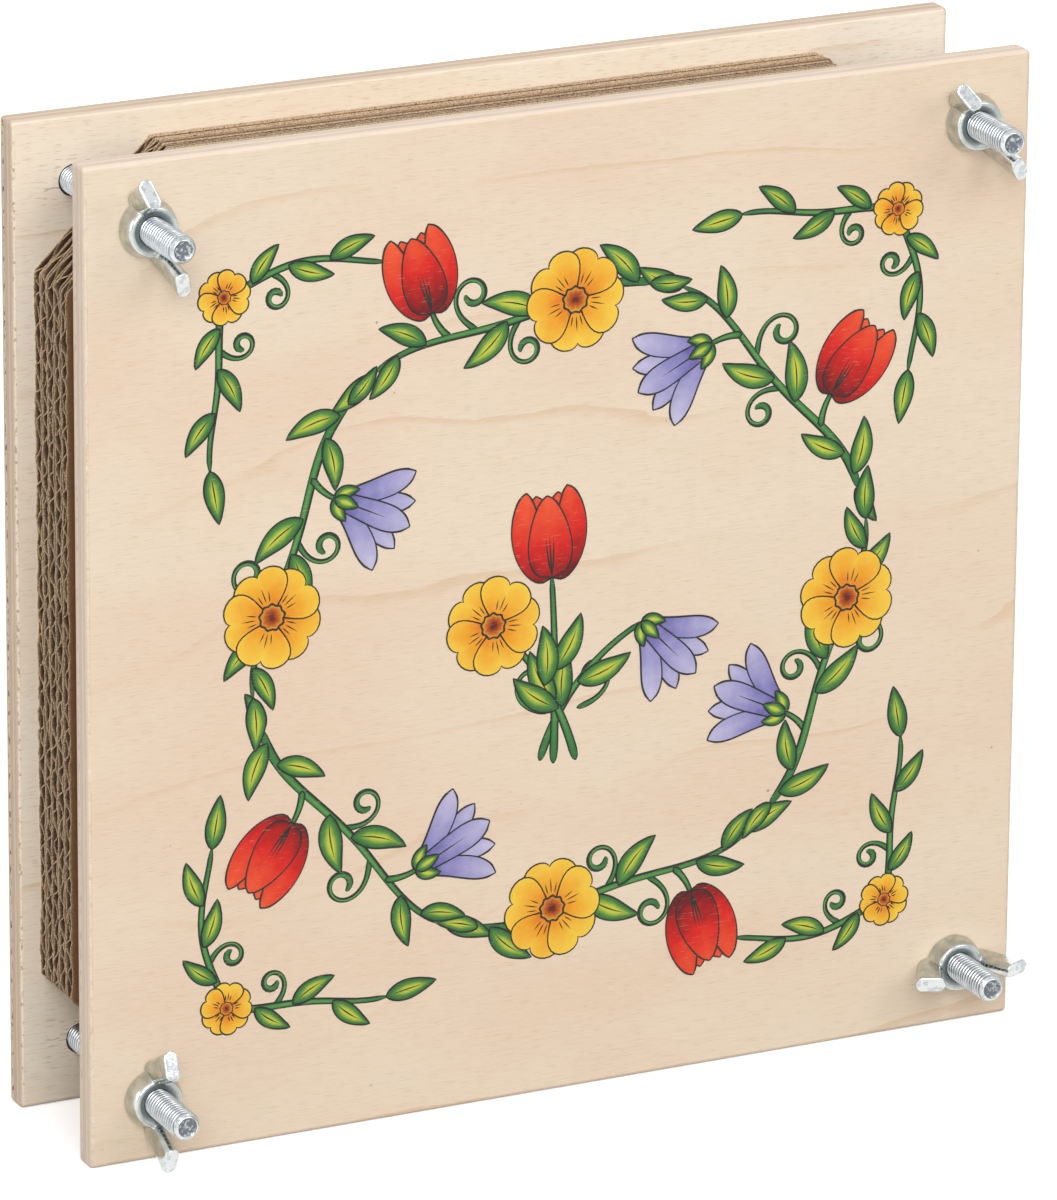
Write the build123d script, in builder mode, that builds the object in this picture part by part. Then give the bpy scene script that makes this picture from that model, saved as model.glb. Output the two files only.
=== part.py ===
"""Flower press: two plywood boards, four carriage bolts with wing nuts, and a stack of cards and papers.

Millimetres. +X runs along the boards' width, +Z is up and the front faces -Y.
The origin is below the middle of the press, at the boards' lower edges.
"""

import os
from math import asin, atan2, cos, degrees, hypot, radians, sin, sqrt

from build123d import *

# Boards
board_side = 210.0
board_thickness = 6.0
board_corner_radius = 0.8
board_edge_radius = 1.0
press_gap = 30.0

# Carriage bolts, one near each corner
bolt_inset = 13.5
bolt_diameter = 6.0
bolt_length = 60.0
head_diameter = 16.5
head_height = 3.9
head_rim = 0.7
neck_side = 6.4
neck_depth = 4.2
tip_chamfer = 0.9
tip_dish_diameter = 3.6
tip_dish_depth = 0.45

# Room around the bolts
neck_clearance = 0.05
board_hole_clearance = 0.4
thread_clearance = 0.05

# Wing nuts
boss_base_diameter = 12.2
boss_top_diameter = 9.4
boss_height = 4.2
boss_foot = 0.5
bore_chamfer = 0.9
wing_span = 26.4
wing_height = 11.2
wing_thickness = 3.2
wing_facet_length = 6.3
wing_facet_drop = 2.4
wing_root_reach = 8.4
wing_root_length = 5.0
nut_spin_angles = [110.0, 126.0, 89.0, 1.0]

# Corrugated cards
card_margin = 5.0
card_bolt_clearance = 2.8
card_thickness = 2.8
card_liner = 0.35
card_medium = 0.3
flute_pitch = 6.5
flute_slope_run = 1.6
card_shifts_x = [-0.5, -0.45, -0.6, -0.5, -0.45]
card_shifts_z = [-1.0, -0.8, -1.1, -1.2, -1.6]
flute_starts = [0.0, 2.6, 4.5, 1.3, 3.7]

# Blotting papers
paper_thickness = 0.25
paper_margin = 7.0

# Places along the press, counted towards the front from the middle of its depth
head_back = -(head_height + bolt_length) / 2
rear_back = head_back + head_height
rear_front = rear_back + board_thickness
front_back = rear_front + press_gap
front_face = front_back + board_thickness

# Places across the press
board_middle = board_side / 2
bolt_reach = board_middle - bolt_inset
corners = [(-1, 1), (1, 1), (-1, -1), (1, -1)]
bolt_places = [(side * bolt_reach, level * bolt_reach) for side, level in corners]

front = Vector(0, -1, 0)
across = Vector(1, 0, 0)
up = Vector(0, 0, 1)


def middle_plane(depth):
    """Plane facing the front at a depth, with its origin at the boards' middle."""
    return Plane(Vector(0, 0, board_middle) + front * depth, x_dir=across, z_dir=front)


def axis_plane(place, depth, spin):
    """Plane through a bolt's axis: local x points away from the axis at the spin angle, local y to the front."""
    origin = Vector(place[0], 0, board_middle + place[1]) + front * depth
    outward = across * cos(radians(spin)) + up * sin(radians(spin))
    return Plane(origin, x_dir=outward, z_dir=outward.cross(front))


def cross_plane(place, depth, spin):
    """Plane square to a bolt's axis, facing the front, with local x at the spin angle."""
    section = axis_plane(place, depth, spin)
    return Plane(section.origin, x_dir=section.x_dir, z_dir=front)


def write(part, label):
    """Name a finished piece and write it."""
    part.label = label
    export_step(part, f"parts/{label}.step")


def corner_clip(side, clearance):
    """Leg of the corner cut that keeps a square sheet this far from the bolts."""
    return side - 2 * bolt_reach + sqrt(2) * (bolt_diameter / 2 + clearance)


def pressing_board(depth):
    """A square board with rounded edges and a round hole for each bolt's thread."""
    with BuildPart() as board:
        with BuildSketch(middle_plane(depth)):
            RectangleRounded(board_side, board_side, board_corner_radius)
        extrude(amount=board_thickness)
        fillet(board.faces().filter_by(Axis.Y).edges(), radius=board_edge_radius)
        with BuildSketch(middle_plane(depth)):
            with Locations(*bolt_places):
                Circle(bolt_diameter / 2 + board_hole_clearance)
        extrude(amount=board_thickness, mode=Mode.SUBTRACT)
    return board.part


os.makedirs("parts", exist_ok=True)

# Rear board: square pockets in its back hold the bolts' necks
with BuildPart() as rear_board:
    add(pressing_board(rear_back))
    with BuildSketch(middle_plane(rear_back)):
        with Locations(*bolt_places):
            Rectangle(neck_side + 2 * neck_clearance, neck_side + 2 * neck_clearance)
    extrude(amount=neck_depth + neck_clearance, mode=Mode.SUBTRACT)
write(rear_board.part, "rear_board")

# Front board: its holes slide along the bolts
write(pressing_board(front_back), "front_board")


def carriage_bolt(place):
    """A bolt with a domed head behind the rear board, a square neck and a shank with a dished tip."""
    section = axis_plane(place, rear_back, 0)
    shank_radius = bolt_diameter / 2
    rim_corner = (head_diameter / 2, -head_rim)
    dome_rise = head_height - head_rim
    dome_radius = (rim_corner[0] ** 2 + dome_rise**2) / (2 * dome_rise)
    dome_tilt = asin(rim_corner[0] / dome_radius) / 2
    dome_middle = (dome_radius * sin(dome_tilt), dome_radius * (1 - cos(dome_tilt)) - head_height)
    with BuildPart() as bolt:
        with BuildSketch(section):
            with BuildLine():
                ThreePointArc((0, -head_height), dome_middle, rim_corner)
                Polyline(
                    rim_corner,
                    (head_diameter / 2, 0),
                    (shank_radius, 0),
                    (shank_radius, bolt_length - tip_chamfer),
                    (shank_radius - tip_chamfer, bolt_length),
                    (tip_dish_diameter / 2, bolt_length),
                    (0, bolt_length - tip_dish_depth),
                    (0, -head_height),
                )
            make_face()
        revolve(axis=Axis(section.origin, front))
        with BuildSketch(cross_plane(place, rear_back, 0)):
            Rectangle(neck_side, neck_side)
        extrude(amount=neck_depth)
    return bolt.part


for number, place in enumerate(bolt_places, start=1):
    write(carriage_bolt(place), f"carriage_bolt_{number}")


def wing_nut(place, spin):
    """A nut with a conical boss and two leaning wings, each ending in a narrow round-ended facet."""
    section = axis_plane(place, front_face, spin)
    base = cross_plane(place, front_face, spin)
    bore_radius = bolt_diameter / 2 + thread_clearance
    facet_tilt = asin(wing_facet_drop / wing_facet_length)
    facet_reach = wing_facet_length * cos(facet_tilt)
    facet_middle = (wing_span / 2 - facet_reach / 2, 0, wing_height - wing_facet_drop / 2)
    root_middle = (wing_root_reach - wing_root_length / 2, 0, boss_foot)
    with BuildPart() as nut:
        with BuildSketch(section):
            Polygon(
                (0, 0),
                (boss_base_diameter / 2, 0),
                (boss_base_diameter / 2, boss_foot),
                (boss_top_diameter / 2, boss_height),
                (0, boss_height),
                align=None,
            )
        revolve(axis=Axis(section.origin, front))
        for turn in (0, 180):
            wing = cross_plane(place, front_face, spin + turn)
            outward = wing.x_dir
            with BuildSketch(Plane(wing.from_local_coords(root_middle), x_dir=outward, z_dir=front)):
                SlotOverall(wing_root_length, wing_thickness)
            facet_facing = front * cos(facet_tilt) + outward * sin(facet_tilt)
            with BuildSketch(Plane(wing.from_local_coords(facet_middle), x_dir=outward, z_dir=facet_facing)):
                SlotOverall(wing_facet_length, wing_thickness)
            loft()
        with BuildSketch(base):
            Circle(bore_radius)
        extrude(amount=wing_height, mode=Mode.SUBTRACT)
        with BuildSketch(base.offset(boss_height)):
            Circle(bore_radius + bore_chamfer)
        with BuildSketch(base.offset(boss_height - bore_chamfer)):
            Circle(bore_radius)
        loft(mode=Mode.SUBTRACT)
    return nut.part


for number, (place, spin) in enumerate(zip(bolt_places, nut_spin_angles), start=1):
    write(wing_nut(place, spin), f"wing_nut_{number}")

card_side = board_side - 2 * card_margin
card_step = card_thickness + 2 * paper_thickness
card_corner = corner_clip(card_side, card_bolt_clearance)
paper_side = card_side - 2 * paper_margin
paper_corner = corner_clip(paper_side, card_bolt_clearance + paper_margin)


def corrugated_card(depth, shift, flute_start):
    """A card with flutes from side to side: two liners and a waved medium, in a square with clipped corners."""
    centre = Vector(shift[0], 0, board_middle + shift[1]) + front * depth
    wave_count = round(card_side / flute_pitch)
    wave = card_side / wave_count
    core = card_thickness - 2 * card_liner
    cell_height = core - card_medium
    slope = hypot(flute_slope_run, cell_height)
    wall_run = card_medium * slope / cell_height
    cell_width = wave / 2 + flute_slope_run * (1 + card_medium / cell_height) - wall_run
    cell_angle = degrees(atan2(cell_height, flute_slope_run))
    first = flute_start - card_side / 2
    rear_level = card_liner + cell_height / 2
    front_level = card_thickness - card_liner - cell_height / 2
    rear_cells = [(first + wave * (i + 0.5), rear_level) for i in range(-1, wave_count)]
    front_cells = [(first + wave * i, front_level) for i in range(-1, wave_count + 1)]
    with BuildPart() as card:
        with BuildSketch(Plane(centre, x_dir=up, z_dir=across)):
            with Locations((0, card_thickness / 2)):
                Rectangle(card_side, card_thickness)
            with Locations(*rear_cells):
                Trapezoid(cell_width, cell_height, cell_angle, mode=Mode.SUBTRACT)
            with Locations(*front_cells):
                Trapezoid(cell_width, cell_height, cell_angle, rotation=180, mode=Mode.SUBTRACT)
        extrude(amount=card_side / 2, both=True)
        with BuildSketch(Plane(centre, x_dir=across, z_dir=front)) as outline:
            Rectangle(card_side, card_side)
            chamfer(outline.vertices(), length=card_corner)
        extrude(amount=card_thickness, mode=Mode.INTERSECT)
    return card.part


def blotting_paper(depth, shift):
    """A thin absorbent sheet with clipped corners."""
    centre = Vector(shift[0], 0, board_middle + shift[1]) + front * depth
    with BuildPart() as paper:
        with BuildSketch(Plane(centre, x_dir=across, z_dir=front)) as outline:
            Rectangle(paper_side, paper_side)
            chamfer(outline.vertices(), length=paper_corner)
        extrude(amount=paper_thickness)
    return paper.part


# The stack starts on the rear board: a card, two papers, the next card and so on
card_shifts = list(zip(card_shifts_x, card_shifts_z))
card_total = len(card_shifts)
for number, (shift, flute_start) in enumerate(zip(card_shifts, flute_starts), start=1):
    card_depth = rear_front + (number - 1) * card_step
    write(corrugated_card(card_depth, shift, flute_start), f"corrugated_card_{number}")
    if number > 1:
        behind = blotting_paper(card_depth - paper_thickness, shift)
        write(behind, f"blotting_paper_{2 * number - 2}")
    if number < card_total:
        before = blotting_paper(card_depth + card_thickness, shift)
        write(before, f"blotting_paper_{2 * number - 1}")
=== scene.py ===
"""A flower press dressed for rendering.

Two plywood boards, four zinc-plated bolts with wing nuts, five corrugated cards, eight blotting papers
and a printed wreath. Metres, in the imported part's frame: +X across the boards, +Z up, the front faces -Y.
"""

import logging
import math
import random
from collections.abc import Callable, Sequence
from dataclasses import dataclass, field
from enum import Enum
from typing import Any

import bmesh
import bpy
import numpy as np
from mathutils import Matrix, Vector


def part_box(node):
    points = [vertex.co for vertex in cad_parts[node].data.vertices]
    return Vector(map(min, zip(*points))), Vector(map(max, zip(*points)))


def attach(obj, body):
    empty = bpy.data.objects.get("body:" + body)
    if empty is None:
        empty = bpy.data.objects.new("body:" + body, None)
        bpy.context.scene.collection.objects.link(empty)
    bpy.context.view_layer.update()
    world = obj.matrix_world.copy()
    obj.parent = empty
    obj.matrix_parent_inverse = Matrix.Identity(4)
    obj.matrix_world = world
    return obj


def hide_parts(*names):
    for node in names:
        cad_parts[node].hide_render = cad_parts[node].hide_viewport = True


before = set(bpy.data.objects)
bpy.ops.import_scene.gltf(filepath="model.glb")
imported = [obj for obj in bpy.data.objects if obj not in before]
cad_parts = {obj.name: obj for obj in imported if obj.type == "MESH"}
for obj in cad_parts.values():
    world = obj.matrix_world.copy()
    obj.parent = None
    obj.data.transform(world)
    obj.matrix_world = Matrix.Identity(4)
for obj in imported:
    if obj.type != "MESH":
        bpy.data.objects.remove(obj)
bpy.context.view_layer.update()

LOG = logging.getLogger("flower_press")
MM = 0.001
RIPPLE_KNOTS = 4096

Colour = tuple[float, float, float, float]
Flat = tuple[float, float]


def paint(red: int, green: int, blue: int) -> Colour:
    """Turn a colour as seen on a screen into the shader's own scale.

    Args:
        red, green, blue: the colour's parts, from 0 to 255.

    Returns:
        The same colour in linear light, with full cover.
    """
    parts = [part / 255 for part in (red, green, blue)]
    linear = [p / 12.92 if p <= 0.04045 else ((p + 0.055) / 1.055) ** 2.4 for p in parts]
    return (linear[0], linear[1], linear[2], 1.0)


class Wire:
    """One output of a shader tree that takes part in Python arithmetic."""

    def __init__(self, tree: bpy.types.NodeTree, socket: bpy.types.NodeSocket) -> None:
        """Hold the socket and the tree that its Math nodes go into."""
        self.tree = tree
        self.socket = socket

    def _math(self, operation: str, *values: "Wire | float") -> "Wire":
        """Add one Math node.

        Args:
            operation: the node's operation.
            values: what its sockets hold or link to, in order.

        Returns:
            The node's output.
        """
        node = self.tree.nodes.new("ShaderNodeMath")
        node.operation = operation
        for slot, value in zip(node.inputs, values):
            if isinstance(value, Wire):
                self.tree.links.new(slot, value.socket)
            else:
                slot.default_value = value
        return Wire(self.tree, node.outputs[0])

    def __add__(self, other: "Wire | float") -> "Wire":
        """Sum of two values."""
        return self._math("ADD", self, other)

    __radd__ = __add__

    def __sub__(self, other: "Wire | float") -> "Wire":
        """This value less another."""
        return self._math("SUBTRACT", self, other)

    def __rsub__(self, other: float) -> "Wire":
        """A number less this value."""
        return self._math("SUBTRACT", other, self)

    def __mul__(self, other: "Wire | float") -> "Wire":
        """Product of two values."""
        return self._math("MULTIPLY", self, other)

    __rmul__ = __mul__

    def __truediv__(self, other: "Wire | float") -> "Wire":
        """This value over another."""
        return self._math("DIVIDE", self, other)

    def __rtruediv__(self, other: float) -> "Wire":
        """A number over this value."""
        return self._math("DIVIDE", other, self)

    def __abs__(self) -> "Wire":
        """Size of the value without its sign."""
        return self._math("ABSOLUTE", self)

    def __mod__(self, other: float) -> "Wire":
        """Remainder that stays positive below zero too."""
        return self._math("FLOORED_MODULO", self, other)

    def most(self, other: "Wire | float") -> "Wire":
        """The larger of two values."""
        return self._math("MAXIMUM", self, other)

    def wave(self) -> "Wire":
        """Sine of the value in radians."""
        return self._math("SINE", self)

    def ease(self, low: float, high: float) -> "Wire":
        """Rise smoothly from 0 at low to 1 at high, or fall where low is above high.

        Args:
            low: the value that gives 0.
            high: the value that gives 1.

        Returns:
            The eased share.
        """
        node = self.tree.nodes.new("ShaderNodeMapRange")
        node.interpolation_type = "SMOOTHSTEP"
        start, end = (0.0, 1.0) if low < high else (1.0, 0.0)
        limits = (min(low, high), max(low, high), start, end)
        for slot, value in zip(list(node.inputs)[1:5], limits):
            slot.default_value = value
        self.tree.links.new(node.inputs[0], self.socket)
        return Wire(self.tree, node.outputs[0])


class Bench:
    """Puts one material's or world's nodes together."""

    def __init__(self, tree: bpy.types.NodeTree) -> None:
        """Start on an empty tree."""
        self.tree = tree
        tree.nodes.clear()

    @classmethod
    def for_material(cls, name: str) -> tuple["Bench", bpy.types.Material]:
        """Make a material and the bench for its tree.

        Args:
            name: the material's name.

        Returns:
            The bench and the material.
        """
        material = bpy.data.materials.new(name)
        material.use_nodes = True
        return cls(material.node_tree), material

    def node(
        self,
        kind: str,
        settings: dict[str, Any] | None = None,
        sockets: dict[str | int, Any] | None = None,
        out: str | int = 0,
    ) -> Wire:
        """Add a node.

        Args:
            kind: the node's type, without the words that all types start with.
            settings: the node's own settings, set first; a ramp takes its stops.
            sockets: values or links of its sockets, by name or by number.
            out: the output to hand back.

        Returns:
            That output.
        """
        node = self.tree.nodes.new("ShaderNode" + kind)
        for key, value in (settings or {}).items():
            if key == "stops":
                self._set_stops(node.color_ramp, value)
            else:
                setattr(node, key, value)
        for key, value in (sockets or {}).items():
            if isinstance(value, Wire):
                self.tree.links.new(node.inputs[key], value.socket)
            else:
                node.inputs[key].default_value = value
        return Wire(self.tree, node.outputs[out]) if node.outputs else Wire(self.tree, node.inputs[0])

    @staticmethod
    def _set_stops(ramp: bpy.types.ColorRamp, stops: Sequence[tuple[float, Colour]]) -> None:
        """Give a ramp its places and colours.

        Args:
            ramp: the ramp of a node.
            stops: places from 0 to 1, each with its colour.
        """
        while len(ramp.elements) < len(stops):
            ramp.elements.new(0.5)
        for element, (place, colour) in zip(ramp.elements, stops):
            element.position = place
            element.color = colour

    def place(self) -> Wire:
        """Points of the piece in millimetres, in the part's frame."""
        coords = self.node("TexCoord", out="Object")
        return self.node("VectorMath", {"operation": "SCALE"}, {0: coords, "Scale": 1 / MM})

    def shift(self, vector: Wire, offset: tuple[float, float, float]) -> Wire:
        """Move points by an offset."""
        return self.node("VectorMath", {"operation": "ADD"}, {0: vector, 1: offset})

    def stretch(self, vector: Wire, scale: tuple[float, float, float]) -> Wire:
        """Scale points along each axis."""
        return self.node("VectorMath", {"operation": "MULTIPLY"}, {0: vector, 1: scale})

    def split(self, vector: Wire) -> tuple[Wire, Wire, Wire]:
        """Take a vector apart.

        Args:
            vector: the vector.

        Returns:
            Its three values.
        """
        first = self.node("SeparateXYZ", sockets={0: vector})
        outputs = first.socket.node.outputs
        return first, Wire(self.tree, outputs[1]), Wire(self.tree, outputs[2])

    def noise(self, vector: Wire, scale: tuple[float, float, float], detail: float = 2.0) -> Wire:
        """Soft random values, with the given counts per millimetre along each axis.

        Args:
            vector: where to read the noise.
            scale: repeats per millimetre.
            detail: how many finer layers are added.

        Returns:
            Values about one half.
        """
        sockets = {"Vector": self.stretch(vector, scale), "Scale": 1.0, "Detail": detail}
        return self.node("TexNoise", sockets=sockets)

    def specks(self, vector: Wire, spacing: float, radius: float) -> Wire:
        """Sparse round specks, one in each cell of a loose grid.

        Args:
            vector: where to read them.
            spacing: millimetres from speck to speck.
            radius: millimetres from a speck's middle to its rim.

        Returns:
            1 in a speck and 0 outside.
        """
        cells = {"Vector": self.stretch(vector, (1 / spacing,) * 3), "Scale": 1.0}
        near = self.node("TexVoronoi", sockets=cells, out="Distance")
        return near.ease(radius / spacing, radius / spacing / 3)

    def mix(self, share: Wire | float, low: Wire | Colour, high: Wire | Colour) -> Wire:
        """Blend two colours.

        Args:
            share: how much of the second one.
            low, high: the two colours.

        Returns:
            The blended colour.
        """
        settings = {"data_type": "RGBA", "blend_type": "MIX", "clamp_factor": True}
        return self.node("Mix", settings, {0: share, 6: low, 7: high}, out=2)

    def facing(self) -> tuple[Wire, Wire, Wire]:
        """How far the surface faces along each axis, without sign."""
        x, y, z = self.split(self.node("NewGeometry", out="Normal"))
        return abs(x), abs(y), abs(z)

    def trait(self, name: str) -> tuple[Wire, Wire, Wire]:
        """The three values that a mesh carries at its points under a name."""
        return self.split(self.node("Attribute", {"attribute_name": name}, out="Vector"))

    def bump(self, height: Wire, depth: float) -> Wire:
        """Surface relief from a height of 0 to 1, with its depth in millimetres."""
        sockets = {"Height": height, "Strength": 1.0, "Distance": depth * MM}
        return self.node("Bump", sockets=sockets, out="Normal")

    def surface(self, **sockets: Any) -> None:
        """End the material in one shader.

        Args:
            sockets: values or links by socket name, with an underscore for each space.
        """
        named = {key.replace("_", " "): value for key, value in sockets.items()}
        shader = self.node("BsdfPrincipled", sockets=named)
        self.node("OutputMaterial", sockets={"Surface": shader})


@dataclass(frozen=True)
class PlywoodFinish:
    """Five-ply birch with cream faces, faint growth lines and striped cut edges."""

    name: str
    front: float
    thickness: float
    veneer_place: tuple[float, float, float]
    cut_roughness: float
    grain: float
    splits: float
    board_middle: float = 105.0
    bolt_reach: float = 91.5
    cream: Colour = paint(241, 224, 202)
    peach: Colour = paint(238, 215, 192)
    honey: Colour = paint(222, 188, 148)
    pale: Colour = paint(245, 233, 214)
    pore: Colour = paint(206, 178, 148)
    speck: Colour = paint(128, 98, 72)
    long_ply: Colour = paint(238, 221, 204)
    end_ply: Colour = paint(224, 203, 184)
    glue: Colour = paint(176, 152, 130)
    chip: Colour = paint(248, 238, 218)
    gap: Colour = paint(104, 74, 50)
    nick: Colour = paint(170, 132, 86)

    def material(self) -> bpy.types.Material:
        """Make the wood from its layers, so that faces and cut edges agree.

        Returns:
            The material.
        """
        bench, material = Bench.for_material(self.name)
        place = bench.place()
        depth = bench.split(place)[1]
        veneer = bench.shift(place, self.veneer_place)
        face, fibre, pores = self._face(bench, veneer)
        away_x, away_y, away_z = bench.facing()
        edge = away_y.ease(0.93, 0.62)
        share = (depth - self.front / MM) / (self.thickness / MM)
        cross = (share * 2.5 % 1.0).ease(0.47, 0.53)
        endness = (away_x * (1 - cross) + away_z * cross).ease(0.35, 0.8)
        streak = bench.noise(veneer, (0.12, 1.4, 0.12), 3.0)
        dots = bench.noise(veneer, (4.0, 4.0, 4.0), 2.0)
        ply = bench.mix(endness * 0.6 + (streak - 0.5) * 0.6, self.long_ply, self.end_ply)
        ply = bench.mix(endness * dots.ease(0.5, 0.75) * 0.35, ply, self.glue)
        seam = abs(share * 5 + 0.5 - ((share * 5 + 0.5) % 1.0) - share * 5)
        line = seam.ease(0.1, 0.02) * streak.ease(0.35, 0.62) * edge
        ply = bench.mix(line * 0.55, ply, self.glue)
        colour = bench.mix(edge, face, ply)
        ragged = bench.noise(veneer, (0.42, 1.1, 0.42), 4.0)
        shoulder = away_y.ease(0.5, 0.8) * away_y.ease(0.9995, 0.97)
        broken = away_x.ease(0.1, 0.35)
        chips = shoulder * ragged.ease(0.5, 0.57) * (0.25 + broken * 0.75)
        nicks = shoulder * bench.noise(veneer, (1.0, 1.5, 1.0), 4.0).ease(0.45, 0.39) * broken
        sanded = away_y.ease(0.92, 0.965) * away_y.ease(0.999, 0.98) * streak.ease(0.35, 0.6)
        colour = bench.mix(shoulder * 0.06 + chips * (0.2 + 0.5 * self.cut_roughness), colour, self.chip)
        colour = bench.mix(sanded * 0.4, colour, self.pore)
        colour = bench.mix(nicks * self.cut_roughness * 0.7, colour, self.nick)
        hollow = bench.noise(veneer, (0.8, 0.8, 0.5), 3.0).ease(0.53, 0.58)
        gaps = edge * away_x.ease(0.5, 0.8) * hollow * abs(share - 0.7).ease(0.08, 0.03)
        colour = bench.mix(gaps * self.cut_roughness, colour, self.gap)
        torn = self._torn(bench, place, pores) * share.ease(0.3, 0.1)
        colour = bench.mix(torn * self.splits, colour, self.gap)
        relief = fibre * 0.25 + (1 - pores) * 0.35 + (1 - line) * 0.25 + (1 - gaps) * 0.4
        relief = relief + ragged * edge * 0.3 + (chips - nicks) * 0.5
        bench.surface(
            Base_Color=colour,
            Roughness=0.58 + fibre * 0.12 + edge * 0.12,
            Specular_IOR_Level=0.32,
            Normal=bench.bump(relief, 0.06),
        )
        return material

    def _torn(self, bench: Bench, place: Wire, pores: Wire) -> Wire:
        """Find the splits and torn pores along the grain beside the bolt holes.

        Args:
            bench: where the nodes go.
            place: points of the board in millimetres.
            pores: the veneer's mask of pores.

        Returns:
            1 where the veneer is torn and 0 where it is whole.
        """
        across, _, up = bench.split(place)
        wander = (bench.noise(place, (0.16, 0.16, 0.5), 3.0) - 0.5) * 4
        level = abs(up - self.board_middle) - self.bolt_reach
        away = abs(abs(across) - self.bolt_reach)
        broken = bench.noise(place, (0.35, 0.35, 0.9), 3.0).ease(0.42, 0.56)
        split = abs(level + wander + 0.9).ease(0.24, 0.04) * away.ease(11.0, 3.0) * broken
        return split + pores * abs(level).ease(9.0, 2.0) * away.ease(13.0, 4.0) * 0.45

    def _face(self, bench: Bench, veneer: Wire) -> tuple[Wire, Wire, Wire]:
        """Make the look of a peeled face veneer with its grain across the board.

        Args:
            bench: where the nodes go.
            veneer: points of the veneer in millimetres.

        Returns:
            The colour, the fine fibre and the mask of pores.
        """
        x, _, z = bench.split(veneer)
        drift = bench.noise(veneer, (0.006, 0.006, 0.018), 2.0)
        ripple = bench.noise(veneer, (0.05, 0.05, 0.22), 3.0)
        ring = (z - x * 0.085 + drift * 80 + ripple * 4) / 27 % 1.0
        ring_fade = bench.noise(veneer, (0.011, 0.011, 0.05), 2.0)
        line = ring.ease(0.9, 0.985) * ring.ease(1.0, 0.988) * ring_fade.ease(0.42, 0.62)
        band = ring.ease(0.25, 0.95) * ring.ease(1.0, 0.96) * ring_fade.ease(0.3, 0.7)
        cloud = bench.noise(veneer, (0.012, 0.012, 0.03), 3.0)
        fibre = bench.noise(veneer, (0.1, 1.0, 2.6), 4.0)
        dash = bench.noise(veneer, (0.3, 1.0, 3.4), 2.0)
        pores = dash.ease(0.55, 0.72)
        gleam = dash.ease(0.45, 0.28)
        colour = bench.mix(cloud.ease(0.35, 0.68), self.cream, self.peach)
        colour = bench.mix(band * 0.25, colour, self.peach)
        colour = bench.mix(line * 0.42, colour, self.honey)
        colour = bench.mix(fibre.ease(0.45, 0.8) * 0.24, colour, self.honey)
        colour = bench.mix(pores * self.grain, colour, self.pore)
        colour = bench.mix(gleam * self.grain, colour, self.pale)
        rare = bench.noise(veneer, (0.03, 0.03, 0.03), 0.0).ease(0.5, 0.56)
        colour = bench.mix(bench.specks(veneer, 9.0, 0.42) * rare * 0.7, colour, self.speck)
        return colour, fibre, pores


@dataclass(frozen=True)
class ZincFinish:
    """Zinc plating on steel, brighter or duller, with a fine uneven skin, painted shade in its hollows and a
    painted highlight on its burnished flats.
    """

    name: str
    bright: Colour
    dull: Colour
    sheen: float
    skin_depth: float
    # grime colour that also paints shade into thread valleys and the nut's hollows
    grime_and_shade_colour: Colour
    raw: Colour = paint(98, 104, 111)
    glint: Colour = paint(182, 188, 194)
    # brighter colour of burnished flats, partly a painted highlight
    burnished_highlight: Colour = paint(206, 211, 211)
    # bluish blotches painted on the burnished flats as reflections
    painted_reflection: Colour = paint(150, 158, 170)

    def material(self) -> bpy.types.Material:
        """Make the plated metal; the mesh says where it is raw, where grime and painted shade darken it, and
        where it is burnished with a painted highlight.

        Returns:
            The material.
        """
        bench, material = Bench.for_material(self.name)
        place = bench.place()
        wear, grime_and_shade, polish_and_highlight = bench.trait("wear")
        cloud = bench.noise(place, (0.5, 0.5, 0.5), 3.0)
        skin = bench.noise(place, (2.6, 2.6, 2.6), 3.0)
        grit = bench.noise(place, (4.5, 4.5, 4.5), 3.0)
        pits = bench.specks(place, 1.3, 0.26) * skin.ease(0.48, 0.56)
        blotch = bench.noise(place, (0.7, 0.7, 0.7), 2.0).ease(0.5, 0.58)
        colour = bench.mix(cloud.ease(0.3, 0.7), self.bright, self.dull)
        # burnished flats take a brighter colour, partly a painted highlight, with blotches of painted
        # reflection
        colour = bench.mix(polish_and_highlight, colour, bench.mix(blotch * 0.45, self.burnished_highlight, self.painted_reflection))
        colour = bench.mix(pits * (0.25 + polish_and_highlight * 0.25), colour, self.raw)
        # painted shade with some grime: thread valleys, the head's rim and the nut's countersink, crease and
        # boss ring turn darker and lose some of their shine
        colour = bench.mix(grime_and_shade * 0.9, colour, self.grime_and_shade_colour)
        # painted glints: pale specks scattered through the raw dish at the tip
        sparkle = bench.noise(place, (1.7, 1.7, 1.7), 4.0).ease(0.5, 0.68)
        colour = bench.mix(wear * 0.95, colour, bench.mix(sparkle, self.raw, self.glint))
        relief = skin * 0.6 + grit * (0.12 + wear * 3.0) + (1 - pits) * (0.5 + polish_and_highlight)
        bench.surface(
            Base_Color=colour,
            Metallic=1 - grime_and_shade * 0.7,
            Roughness=self.sheen + cloud * 0.1 + wear * 0.12 + pits * 0.2 + grime_and_shade * 0.3,
            Normal=bench.bump(relief, self.skin_depth),
        )
        return material


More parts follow.
